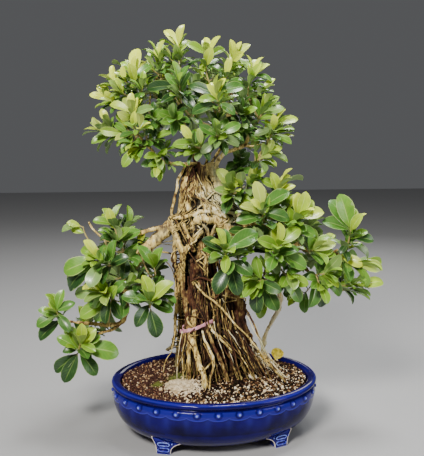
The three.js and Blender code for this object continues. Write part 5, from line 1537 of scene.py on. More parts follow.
    def fill(self, number: int, count: int, scale: float = 1.0) -> None:
        """Adds further leaves round a shoot, the older ones lower on its stem.

        Args:
            number: The shoot.
            count: How many are tried.
            scale: The size of the leaves against grown ones.
        """
        shoot = self.shoots[number]
        for row in range(count):
            share = row / count
            for attempt in range(8):
                turn = self.golden_angle * (row + 0.5) + self.random() * 1.2 + attempt * 0.7
                lean = mix(0.3, 1.6, share) + (self.random() - 0.5) * 0.4
                along = self.spiral(shoot, turn, lean)
                foot = self.stem_point(shoot, shoot.leafy * mix(0.02, 1.1, share))
                size = self.true_size(shoot) * scale * mix(0.74, 1.02, self.random())
                size *= 1.0 if attempt < 5 else 0.75
                tip = foot + along * size
                droop = unit(shoot.way + np.array([0, 0, 0.8]) + unit(EYE_POINT - tip) * 0.25)
                blade = make_blade(foot, tip, droop, self.leaf_width * mix(0.88, 1.08, self.random()))
                age = min(1.0, max(0.0, shoot.young * mix(1.2, 0.3, share) + 0.04))
                if self.keep(blade, number, age, 0.1):
                    break

    def grow(self) -> None:
        """Places every stem, the leaves of the solids, and then the leaves that fill the sprays."""
        for at, young, host, tips, *route in SHOOTS:
            node = VIEW.place(at)
            way = np.array([0.0, 0.0, 0.35])
            for tip in tips:
                way = way + unit(VIEW.place((tip[0], tip[1], at[2] - tip[2])) - node) / len(tips)
            places = [VIEW.place(spot) for spot in route[0]] if route else None
            self.add_shoot(node, unit(way), young, host, [(tip, at[2]) for tip in tips], 0, places)
        for at, young, host, count in BACK_SHOOTS:
            node = VIEW.place(at)
            middle = VIEW.place(MASSES["crown" if at[1] > CROWN_FROM else "left" if at[0] < 0 else "right"])
            self.add_shoot(node, unit(unit(node - middle) + np.array([0, 0, 0.5])), young, host, [], count)
        for number in range(len(self.shoots)):
            self.place_front(number, 0, self.most_leaves, 1.0)
        for number in range(len(self.shoots)):
            self.place_back(number)
        LOG.info("leaves of the solids: %d", sum(len(shoot.leaves) for shoot in self.shoots))
        for number, (size, _) in SHOOT_SIZES.items():
            self.shoots[number].leaf_size = size
        self.refine()
        for number in range(len(self.shoots)):
            self.place_front(number, self.most_leaves, 99, 0.25)
        first = len(self.shoots)
        for number in range(first):
            self.fill(number, SHOOT_SIZES.get(number, (0, self.fill_leaves))[1])
        for host, at, young, count in SIDE_SHOOTS:
            node = VIEW.place(at)
            start = min((self.stem_point(self.shoots[host], down) for down in np.linspace(4, 60, 20)),
                        key=lambda place: float(np.linalg.norm(place - node)))
            way = unit(unit(node - start) + np.array([0, 0, 0.5]) + unit(EYE_POINT - node) * 0.5)
            line = [start, (start + node) / 2 - np.array([0, 0, 3]), node]
            self.shoots.append(Shoot(node, way, young, host, [], 0, line, [1.5, 1.3, 1], thick=(1.6, 1),
                                     leafy=20.0))
            self.fill(len(self.shoots) - 1, count, 0.9)
        for number in range(first):
            if number not in SHOOT_SIZES:
                self.side_shoots(number, self.side_count)
        LOG.info("leaves in all: %d", sum(len(shoot.leaves) for shoot in self.shoots))


@dataclass
class Foliage:
    """The sprays of leaves, one piece for each solid spray."""

    growth: Growth
    sections: tuple[tuple[float, float], ...] = (
        (0.0, 0.06), (0.08, 0.07), (0.16, 0.3), (0.28, 0.62), (0.43, 0.88), (0.59, 1.0), (0.73, 0.98),
        (0.86, 0.77), (0.95, 0.43))
    columns: tuple[float, ...] = (-1.0, -0.5, 0.0, 0.5, 1.0)

    def __post_init__(self) -> None:
        """Prepares the grid that every blade shares."""
        ring = [(u, 1.0) for u in self.columns] + [(u, 0.0) for u in (0.5, 0.0, -0.5)]
        count = len(ring)
        rows = [(t, w, u, upper) for t, w in self.sections for u, upper in ring] + [(1.0, 0.0, 0.0, 1.0)]
        self.t, self.w, self.u, self.upper = np.array(rows).T
        self.faces = tube_faces(len(self.sections), count, closed=False)
        last = (len(self.sections) - 1) * count
        self.faces += [(last + i, last + (i + 1) % count, last + count) for i in range(count)]
        self.faces.append(tuple(reversed(range(count))))
        self.under = [*([0.0] * 4 + [1.0] * (count - 4)) * len(self.sections), 0.0]

    def add_leaf(self, maker: MeshMaker, blade: Blade, draw: np.random.Generator) -> None:
        """Adds one leaf, with its own fold, arch, twist and wave.

        Args:
            maker: The spray's mesh.
            blade: The leaf's place.
            draw: The source of its small differences.
        """
        length = float(np.linalg.norm(blade.tip - blade.foot))
        least, most = (0.12, 0.03, -0.3, -0.05, 0.0), (0.6, 0.09, 0.3, 0.05, 0.025)
        fold, arch, twist, bend, wave = draw.uniform(least, most)
        phase = draw.uniform(0, 6.28)
        half = length * blade.width * (0.9 if blade.foot[2] > CROWN_FROM else 1.04)
        t, w, u = self.t, self.w, self.u
        out = u * w * half
        fold_angle = math.atan(fold)
        x = length * t
        y = out * math.cos(fold_angle) + length * bend * t * (1 - t) * 4 * 0.5
        z = np.abs(out) * math.sin(fold_angle) + length * arch * 4 * t * (1 - t)
        z -= length * 0.16 * np.maximum(t - 0.7, 0) ** 2 * 4
        z += length * wave * np.sin(t * 9 + phase + u) * np.abs(u) * w
        thick = np.where(t < 0.1, 1.5, 0.75)
        z -= (1 - self.upper) * thick * np.where(np.abs(u) > 0.1, 0.75, 1.0) * np.minimum(w * 6, 1)
        turn = twist * (t - 0.3)
        side = blade.side * np.cos(turn)[:, None] + blade.face * np.sin(turn)[:, None]
        face = blade.face * np.cos(turn)[:, None] - blade.side * np.sin(turn)[:, None]
        points = blade.foot + blade.along * x[:, None] + side * y[:, None] + face * z[:, None]
        age = float(np.clip(0.1 + 0.88 * blade.age + draw.normal(0, 0.13), 0, 1))
        dust = float(draw.random() < 0.16)
        stem = (t < 0.1) * 0.35
        maker.add(points, self.faces, across=u, along=t, age=age, dust=dust, stem=stem, under=self.under)

    def build(self) -> None:
        """Builds every spray."""
        draw = np.random.default_rng(7)
        shoots = self.growth.shoots
        for number, shoot in enumerate(shoots):
            if shoot.host >= 0:
                continue
            maker = MeshMaker(("across", "along", "age", "stem", "dust"), ("under",))
            for row, other in enumerate(shoots):
                if self.growth.spray_of(row) != number:
                    continue
                line = smooth(other.line, 4)
                if other.host < 0:
                    line[0] = line[0] - unit(line[1] - line[0]) * 3.5
                radii = taper(line, *other.thick)
                maker.add_bar(line, radii, 10, stem=1.0, age=other.young * 0.5, across=0.5, along=0.5)
                bud = [other.node, other.node + other.way * 3, other.node + other.way * 8]
                age = min(1, other.young + 0.2)
                maker.add_bar(bud, [1.1, 1.2, 0.3], 10, stem=0.3, age=age, across=0.5, along=0.5)
                for blade in other.leaves:
                    inline = float(blade.along @ other.way)
                    self.add_leaf(maker, replace(blade, age=blade.age + (inline - 0.7) * 0.5), draw)
            name = f"spray_{number + 1:02d}"
            piece = maker.make(f"leaves_{number + 1:02d}")
            smooth_by_angle(piece, 40)
            dress(piece, Finish.LEAF, "leaf", name)


@dataclass
class Core:
    """The fused heart of the trunk, by height."""

    rows: list = field(default_factory=lambda: CORE)

    def ring(self, share: float) -> tuple[np.ndarray, float, float]:
        """The middle, half width and half depth at a share of the way from the top to the foot."""
        place = share * (len(self.rows) - 1)
        k = min(int(place), len(self.rows) - 2)
        row = np.array(self.rows[k]) + (np.array(self.rows[k + 1]) - np.array(self.rows[k])) * (place - k)
        return VIEW.place(row[:3]), float(row[3]), float(row[4])

    def at_height(self, z: float) -> tuple[np.ndarray, float, float]:
        """The ring nearest to a height in millimetres."""
        depths = [-VIEW.place(row[:3])[2] for row in self.rows]
        return self.ring(float(np.interp(-z, depths, np.arange(len(depths)) / (len(depths) - 1))))


def soil_height(x: float, y: float) -> float:
    """The height of the soil's surface at a place in the plan, in millimetres."""
    return 101 + 15 * math.exp(-((math.hypot(x, y * 1.15) / 85) ** 2))


def spot_shares(points: np.ndarray, spots: Sequence[Sequence[float]], power: int = 2) -> list[np.ndarray]:
    """How far each point lies within oval spots of the plane, from 0 outside to 1 in their middles.

    Args:
        points: The points, in metres.
        spots: The spots: across, up, half width, half height and more.
        power: How sharp their edges are.

    Returns:
        One array for each spot.
    """
    across, up = VIEW.seen(points)
    return [np.exp(-((across - a) / wide) ** power - ((up - u) / high) ** power)
            for a, u, wide, high, *_ in spots]


def lichen_at(points: np.ndarray) -> np.ndarray:
    """How dense the lichen is at each place, from 0 to 1."""
    dense = np.zeros(len(points))
    for spot, share in zip(LICHEN, spot_shares(points, LICHEN)):
        dense = np.maximum(dense, spot[-1] * share)
    return dense


def facing_view(points: np.ndarray, normals: np.ndarray) -> np.ndarray:
    """How squarely each point faces the viewing point, from -1 to 1."""
    return normals @ unit(VIEW.metres(EYE_POINT) - points.mean(axis=0))


def place_tones(points: np.ndarray, tones: np.ndarray) -> np.ndarray:
    """The tones of the bark made lighter or darker by place, all but the palest roots."""
    up = VIEW.seen(points)[1]
    shift = np.zeros(len(points))
    for spot, share in zip(BARK_SHIFTS, spot_shares(points, BARK_SHIFTS)):
        shift += spot[-1] * share
    # The darker spots are painted shade; the palest roots and the back of the trunk are spared
    behind = np.clip((points[:, 1] / MM - 18) / 22, 0, 1)
    shift = np.where(shift < 0, shift * (1 - behind), shift) + behind * np.clip((360 - up) / 60, 0, 1) * 0.4
    return np.clip(tones + np.where(shift < 0, shift * np.clip((1.1 - tones) / 0.35, 0, 1), shift), 0, 1.5)


@dataclass
class Wood:
    """The trunk of fused aerial roots, with its branches and fine roots."""

    voxel: float = 2.1
    fine_below: float = 3.9
    slim: float = 0.6
    fibres: int = 95
    web: int = 150
    web_from: float = 95.0
    rays: int = 6
    ray_reach: float = 0.03
    moss_below: float = 128.0
    core: Core = field(default_factory=Core)
    samples: list = field(default_factory=list)
    tones: list = field(default_factory=list)

    def note(self, line: Sequence[np.ndarray], tone: float) -> None:
        """Remembers the tone of the bark along a line."""
        for point in line:
            self.samples.append(point)
            self.tones.append(tone)

    def knotty(self, line: list[np.ndarray], radii: list[float], draw: np.random.Generator, sway: float,
               waver: float = 0.0) -> tuple:
        """A line and its radii with the small bends and knots of real wood.

        Args:
            line: The smooth line.
            radii: Its radii.
            draw: The source of the differences.
            sway: How far it strays, against its radius.
            waver: How far it strays besides, in millimetres.

        Returns:
            The new line and radii.
        """
        shift = draw.uniform(0, 500, 3)
        moved, sized = [], []
        for k, (point, radius) in enumerate(zip(line, radii)):
            ease = min(1.0, k / 3)
            stray = np.array(noise.noise_vector(Vector((point + shift) / 16))) * (sway * radius + waver)
            stray += np.array(noise.noise_vector(Vector((point + shift) / 45))) * waver * 1.6
            moved.append(point + stray * ease)
            sized.append(radius * (1 + 0.28 * noise.noise(Vector((point + shift) / 9))))
        return moved, sized

    def core_form(self, maker: MeshMaker) -> None:
        """Adds the core, with ridges that run down it."""
        sides, steps = 40, 60
        points = []
        for k in range(steps + 1):
            middle, wide, deep = self.core.ring(k / steps)
            lower = min(1.0, max(0.0, (380 - middle[2]) / 120))
            wide, deep = wide * mix(0.97, 0.84, lower), deep * mix(0.97, 0.86, lower)
            for i in range(sides):
                turn = 2 * math.pi * i / sides
                swirl = turn + middle[2] * 0.004
                ridge = noise.noise(Vector((math.cos(swirl) * 2.6, math.sin(swirl) * 2.6, middle[2] / 90)))
                size = 1 + 0.24 * ridge
                x, y = VIEW.plan(wide * size * math.cos(turn), deep * size * math.sin(turn))
                points.append(middle + np.array([x, y, 0]))
        walls = [(j, i, m, n) for i, j, n, m in tube_faces(steps + 1, sides, closed=False)]
        top, foot = tuple(range(sides)), tuple(reversed(range(steps * sides, (steps + 1) * sides)))
        maker.add(np.array(points), [*walls, top, foot])
        # The core gets a darker tone than the roots: painted shade in the gaps between them
        self.note([self.core.ring(k / 40)[0] for k in range(41)], 0.35)

    def fibre_routes(self) -> list[tuple[list[np.ndarray], float, float, float]]:
        """Fine roots that run down round the core to the soil, by rule.

        Returns:
            The line, both radii and the tone of each.
        """
        draw = np.random.default_rng(11)
        routes = []
        for _ in range(self.fibres):
            turn = draw.uniform(0, 2 * math.pi)
            top = draw.uniform(190, 440)
            low = 96 if draw.random() < 0.8 else draw.uniform(110, 180)
            thick = draw.uniform(0.7, 1.9)
            drift = draw.normal(0, 0.35)
            spread = draw.uniform(2, 34)
            stand = draw.uniform(0.5, 7)
            line = []
            steps = max(4, int((top - low) / 22))
            for k in range(steps + 1):
                share = k / steps
                z = mix(top, low, share)
                middle, wide, deep = self.core.at_height(z)
                low_down = max(0.0, (230 - z) / 130)
                out = (stand if k else -3) + spread * low_down**1.6
                angle = turn + drift * share + draw.normal(0, 0.05)
                x, y = (wide * 0.92 + out) * math.cos(angle), (deep * 0.92 + out) * math.sin(angle)
                line.append(np.array([middle[0] + x, middle[1] + y, z]))
            line[-1][2] = soil_height(line[-1][0], line[-1][1]) - 5 if low == 96 else low
            tone = draw.choice([0.05, 0.2, 0.45, 0.75, 1.2], p=[0.36, 0.26, 0.16, 0.1, 0.12])
            routes.append((smooth(line, 4), thick, thick * 0.75, float(tone)))
        return routes

    def curtain_routes(self) -> list[tuple[list[np.ndarray], float, float]]:
        """Rows of roots that hang from one line to another, thick and dark within, where the dark tone is
        painted shade, thin in front.

        Returns:
            The line, the thickness and the tone of each.
        """
        draw = np.random.default_rng(17)
        routes = []
        for top, foot, count, thin, thick, dark, light in CURTAINS:
            for number in range(count):
                share = (number + draw.uniform(0.1, 0.9)) / count
                start = np.array(top[0]) + (np.array(top[1]) - np.array(top[0])) * share
                share = np.clip(share + draw.normal(0, 0.12), 0, 1)
                end = np.array(foot[0]) + (np.array(foot[1]) - np.array(foot[0])) * share
                start[1] += draw.uniform(-25, 25)
                spots = []
                for k in range(5):
                    bow = (k / 4) ** 1.5
                    spot = start * (1 - k / 4) + end * (k / 4)
                    spot[0] = mix(start[0], end[0], bow)
                    spot[2] += draw.normal(0, 2.5)
                    spots.append(VIEW.place(spot))
                if end[1] < 112:
                    spots[-1][2] = soil_height(spots[-1][0], spots[-1][1]) - 5
                size, tone = float(draw.uniform(thin, thick)), float(draw.uniform(dark, light))
                routes.append((smooth(spots, 4), size, tone))
        return routes

    def web_routes(self, trunk: bpy.types.Object) -> list[tuple[list[np.ndarray], float, float]]:
        """Fine roots that cling to the fused trunk and cross it at every slant.

        Args:
            trunk: The fused trunk.

        Returns:
            The line, the thickness and the tone of each.
        """
        draw = np.random.default_rng(29)
        faces = [tuple(face.vertices) for face in trunk.data.polygons]
        tree = BVHTree.FromPolygons([Vector(point) for point in points_of(trunk)], faces)
        routes = []
        for number in range(self.web):
            top = draw.uniform(260, 525) if number % 3 else draw.uniform(150, 300)
            turn, run, slant = draw.uniform(0, 2 * math.pi), draw.uniform(26, 100), draw.normal(0, 1.3)
            thick, line = draw.uniform(0.9, 2.4), []
            for k in range(9):
                height = top - run * k / 8
                middle = self.core.at_height(height)[0]
                angle = turn + slant * run * k / 560 + draw.normal(0, 0.04)
                way = np.array([math.cos(angle), math.sin(angle), 0.0])
                start = Vector(VIEW.metres(middle + way * self.web_from))
                hit = tree.ray_cast(start, Vector(-way), self.web_from * MM)[0]
                if hit is not None:
                    lift = thick * (0.55 if 0 < k < 8 else -1.2)
                    line.append(np.array(hit) / MM - np.array([VIEW.pot_right, 0, 0]) + way * lift)
            if len(line) > 3:
                tone = draw.choice([0.15, 0.45, 0.75, 1.0], p=[0.22, 0.18, 0.25, 0.35])
                routes.append((smooth(line, 3), float(thick), float(tone)))
        return routes

    def build(self) -> None:
        """Builds the trunk and the fine roots and dresses them."""
        draw = np.random.default_rng(3)
        thick, fine = MeshMaker(()), MeshMaker(("tone",))
        self.core_form(thick)
        for number, (start, end, route) in enumerate([*ROOTS, *BRANCHES]):
            line = smooth([VIEW.place(spot) for spot in route], 6)
            radii = taper(line, start, end)
            branch = number - len(ROOTS)
            tone = BRANCH_TONES.get(branch, 0.6) if branch >= 0 else ROOT_TONES.get(number, 0.8)
            if branch in SLIM_BRANCHES:
                slim = [radius * self.slim for radius in radii]
                fine.add_bar(*self.knotty(line, slim, draw, 0.4, 0.8), 12, tone=tone)
                continue
            self.note(line, tone)
            if max(start, end) >= self.fine_below:
                thick.add_bar(*self.knotty(line, radii, draw, 0.35), 12)
            else:
                fine.add_bar(*self.knotty(line, radii, draw, 0.4, 0.6), 8, tone=tone)
        for line, start, end, tone in self.fibre_routes():
            fine.add_bar(*self.knotty(line, taper(line, start, end), draw, 0.6, 2.6), 6, tone=tone)
        for line, size, tone in self.curtain_routes():
            fine.add_bar(*self.knotty(line, taper(line, size, size * 0.8), draw, 0.6, 2.4), 7, tone=tone)
        for start, end, tone, route in FINE_ROOTS:
            line = smooth([VIEW.place(spot) for spot in route], 6)
            fine.add_bar(*self.knotty(line, taper(line, start, end), draw, 0.5, 1.0), 7, tone=tone)
        trunk = thick.make("trunk")
        fuse(trunk, self.voxel * MM, 3)
        self.roughen(trunk)
        for line, size, tone in self.web_routes(trunk):
            fine.add_bar(*self.knotty(line, taper(line, size, size * 0.6), draw, 0.4), 6, tone=tone)
        twigs = fine.make("fine_roots")
        self.shade(trunk, twigs)
        dress(trunk, Finish.BARK, "bark", "wood")
        dress(twigs, Finish.BARK, "bark", "wood")

    def roughen(self, trunk: bpy.types.Object) -> None:
        """Gives the trunk its bark relief and stores its tones."""
        points = points_of(trunk)
        normals = normals_of(trunk)
        place = points / MM
        facing = facing_view(points, normals)
        lumps = lichen_at(points) * 1.6 + np.clip((place[:, 2] - 330) / 80, 0, 1) * 0.8
        relief = rough(place, 16, (1, 1, 3.2), 3) * 1.2 + rough(place + 300, 5.5, (1, 1, 2.2), 2) * 0.8
        relief += np.abs(rough(place + 90, 9, (1, 1, 1.3), 2)) * 2.4 * lumps
        for spot, inside in zip(HOLLOWS, spot_shares(points, HOLLOWS)):
            relief -= spot[-1] * inside * np.clip(facing * 2.5, 0, 1)
        tree = KDTree(len(self.samples))
        for number, sample in enumerate(self.samples):
            tree.insert(Vector(VIEW.metres(sample)), number)
        tree.balance()
        tones = np.array([self.tones[tree.find(Vector(point))[1]] for point in points])
        move_points(trunk, points + normals * (relief * MM)[:, None])
        trunk.data.shade_smooth()
        store(trunk, "tone", place_tones(points, tones))

    def shade(self, trunk: bpy.types.Object, twigs: bpy.types.Object) -> None:
        """Stores how deep in hollows each point of the wood lies, as painted shade for the bark, and where
        lichen and moss grow.
        """
        corners, faces = [], []
        for piece in (trunk, twigs):
            faces += [tuple(i + len(corners) for i in face.vertices) for face in piece.data.polygons]
            corners += map(Vector, points_of(piece))
        tree = BVHTree.FromPolygons(corners, faces)
        draw = np.random.default_rng(5)
        for piece in (trunk, twigs):
            points, normals = points_of(piece), normals_of(piece)
            # Painted shade: points whose short rays meet nearby wood are marked for darkening
            ways = unit_rows(normals[None] + unit_rows(draw.normal(size=(self.rays, len(points), 3))) * 0.9)
            hits = np.zeros(len(points))
            for way in ways:
                starts = points + normals * 0.0006
                for k in range(len(points)):
                    hit = tree.ray_cast(Vector(starts[k]), Vector(way[k]), self.ray_reach)
                    if hit[0] is not None:
                        hits[k] += 1 - hit[3] / (self.ray_reach * 1.5)
            hollow = np.clip(hits / len(ways) * 1.25 - 0.18, 0, 1)
            front = np.clip(facing_view(points, normals) * 3, 0, 1)
            # The fronts of the holes in the trunk are painted dark as well: painted shade
            for inside in spot_shares(points, HOLLOWS, 4):
                hollow = np.maximum(hollow, inside * (piece is trunk) * front)
            height = points[:, 2] / MM
            if piece is twigs:
                tones = np.empty(len(points), dtype=np.float32)
                piece.data.attributes["tone"].data.foreach_get("value", tones)
                piece.data.attributes["tone"].data.foreach_set("value", place_tones(points, tones))
            store(piece, "hollow", hollow)
            store(piece, "lichen", lichen_at(points) * np.clip(normals[:, 2] + 0.9, 0.2, 1))
            store(piece, "moss", np.clip((self.moss_below - height) / 16, 0, 1) * 0.45)


def unit_rows(vectors: np.ndarray) -> np.ndarray:
    """Vectors of length one in the same directions."""
    return vectors / np.maximum(np.linalg.norm(vectors, axis=-1, keepdims=True), 1e-12)


@dataclass
class Grit:
    """The potting grit: its heaped body and the loose grains on it."""

    half_length: float = 200.0
    half_depth: float = 163.0
    inset: float = 19.1
    spacing: float = 3.1
    most: int = 9900
    stone: tuple[float, float] = (-66.0, -56.0)

    def build(self) -> None:
        """Builds the body and the grains."""
        self.bed()
        self.grains()

    def mark(self, piece: bpy.types.Object, jitter: np.ndarray) -> None:
        """Stores where moss grows on the grit."""
        points = points_of(piece) / MM - np.array([VIEW.pot_right, 0, 0])
        moss = np.zeros(len(points))
        for x, y, reach in ((-70, -8, 16), (-114, -36, 12), (-38, -4, 10), (-84, -14, 11), (-56, 6, 10)):
            moss = np.maximum(moss, np.exp(-((points[:, 0] - x) ** 2 + (points[:, 1] - y) ** 2) / reach**2))
        store(piece, "moss", np.clip(moss * 1.7 + jitter * 0.4 - 0.3, 0, 1))

    def bed(self) -> None:
        """Builds the closed body of the grit with its heaped top."""
        sides = 160
        outline = [(61.1, 20.3), (23.1, 56), (19.1, 96), (19.1, 99)]
        turns = np.arange(sides) * 2 * math.pi / sides
        maker = MeshMaker(())
        points = []
        for inset, height in outline:
            long, deep = self.half_length - inset, self.half_depth - inset
            points.extend([(long * math.cos(a), deep * math.sin(a), height) for a in turns])
        shares = np.linspace(0.99, 0.02, 60)
        for share in shares:
            for a in turns:
                x = (self.half_length - self.inset) * share * math.cos(a)
                y = (self.half_depth - self.inset) * share * math.sin(a)
                heap = 1.3 * noise.noise(Vector((x / 17, y / 17, 0)))
                heap += 0.8 * noise.noise(Vector((x / 5, y / 5, 4)))
                points.append((x, y, soil_height(x, y) - 1.6 + heap))
        maker.add(np.array(points), tube_faces(len(outline) + len(shares), sides))
        piece = maker.make("grit_bed")
        place = points_of(piece) / MM
        speck = rough(place, 5, octaves=2)
        store(piece, "tone", np.clip(speck * 0.2 - 0.1, 0, 1))
        self.mark(piece, speck)
        dress(piece, Finish.GRIT, "soil", "soil")

    def grains(self) -> None:
        """Scatters the grains over the heap, each with its own form and tone."""
        draw = np.random.default_rng(21)
        a, b = self.half_length - self.inset - 1.5, self.half_depth - self.inset - 1.5
        spots = []
        step = self.spacing
        for row in range(int(2 * b / (step * 0.87)) + 1):
            for column in range(int(2 * a / step) + 1):
                x = -a + (column + 0.5 * (row % 2)) * step + draw.uniform(-1.3, 1.3)
                y = -b + row * step * 0.87 + draw.uniform(-1.3, 1.3)
                if (x / a) ** 2 + (y / b) ** 2 < 1:
                    spots.append((x, y))
        draw.shuffle(spots)
        spots = np.array(spots[:self.most])
        count = len(spots)
        bpy.ops.object.select_all(action="DESELECT")
        bpy.ops.mesh.primitive_ico_sphere_add(subdivisions=1, radius=1.0)
        corners, triangles = template(bpy.context.active_object)
        size = np.clip(draw.lognormal(0.46, 0.34, count), 0.9, 3.9)
        squash = draw.uniform(0.62, 1.25, (count, 1, 3))
        dents = draw.uniform(0.82, 1.18, (count, len(corners), 1))
        spin = unit_rows(draw.normal(size=(count, 4)))
        forms = turned(corners[None] * squash * dents, spin) * size[:, None, None]
        heights = np.array([soil_height(x, y) for x, y in spots]) + draw.uniform(-0.9, 0.7, count)
        places = np.column_stack([spots, heights])
        points = (forms + places[:, None]).reshape(-1, 3)
        faces = (np.array(triangles)[None] + np.arange(count)[:, None, None] * len(corners)).reshape(-1, 3)
        left = np.clip((-spots[:, 0] - 20) / 90, 0, 1)
        kind = draw.choice([0.0, 0.18, 0.38, 0.6, 0.85, 1.0], count, p=[0.38, 0.2, 0.14, 0.1, 0.1, 0.08])
        shade = 0.45 * np.exp(-(np.hypot(spots[:, 0] - 10, spots[:, 1] * 1.1) / 62) ** 2)
        tone = np.clip(kind + draw.normal(0, 0.06, count) - left * 0.2 - shade, 0, 1)
        crumbs = np.hypot((spots[:, 0] - self.stone[0]) / 34, (spots[:, 1] - self.stone[1]) / 36)
        pale = np.clip(0.93 + draw.normal(0, 0.04, count), 0, 1)
        tone = np.where(draw.random(count) < 1.9 - crumbs * 1.5, pale, tone)
        maker = MeshMaker(("tone", "pink"))
        tone, pink = np.repeat(tone, len(corners)), np.repeat(left, len(corners))
        maker.add(points, faces.tolist(), tone=tone, pink=pink)
        piece = maker.make("grit_grains")
        self.mark(piece, np.repeat(draw.uniform(-1, 1, count), len(corners)))
        piece.data.shade_flat()
        dress(piece, Finish.GRIT, "soil", "soil")


def turned(forms: np.ndarray, spins: np.ndarray) -> np.ndarray:
    """Forms turned by unit quaternions, one for each form."""
    scalar, axis = spins[:, None, :1], spins[:, None, 1:]
    axis = np.broadcast_to(axis, forms.shape)
    across = np.cross(axis, forms)
    return forms + 2 * (scalar * across + np.cross(axis, across))


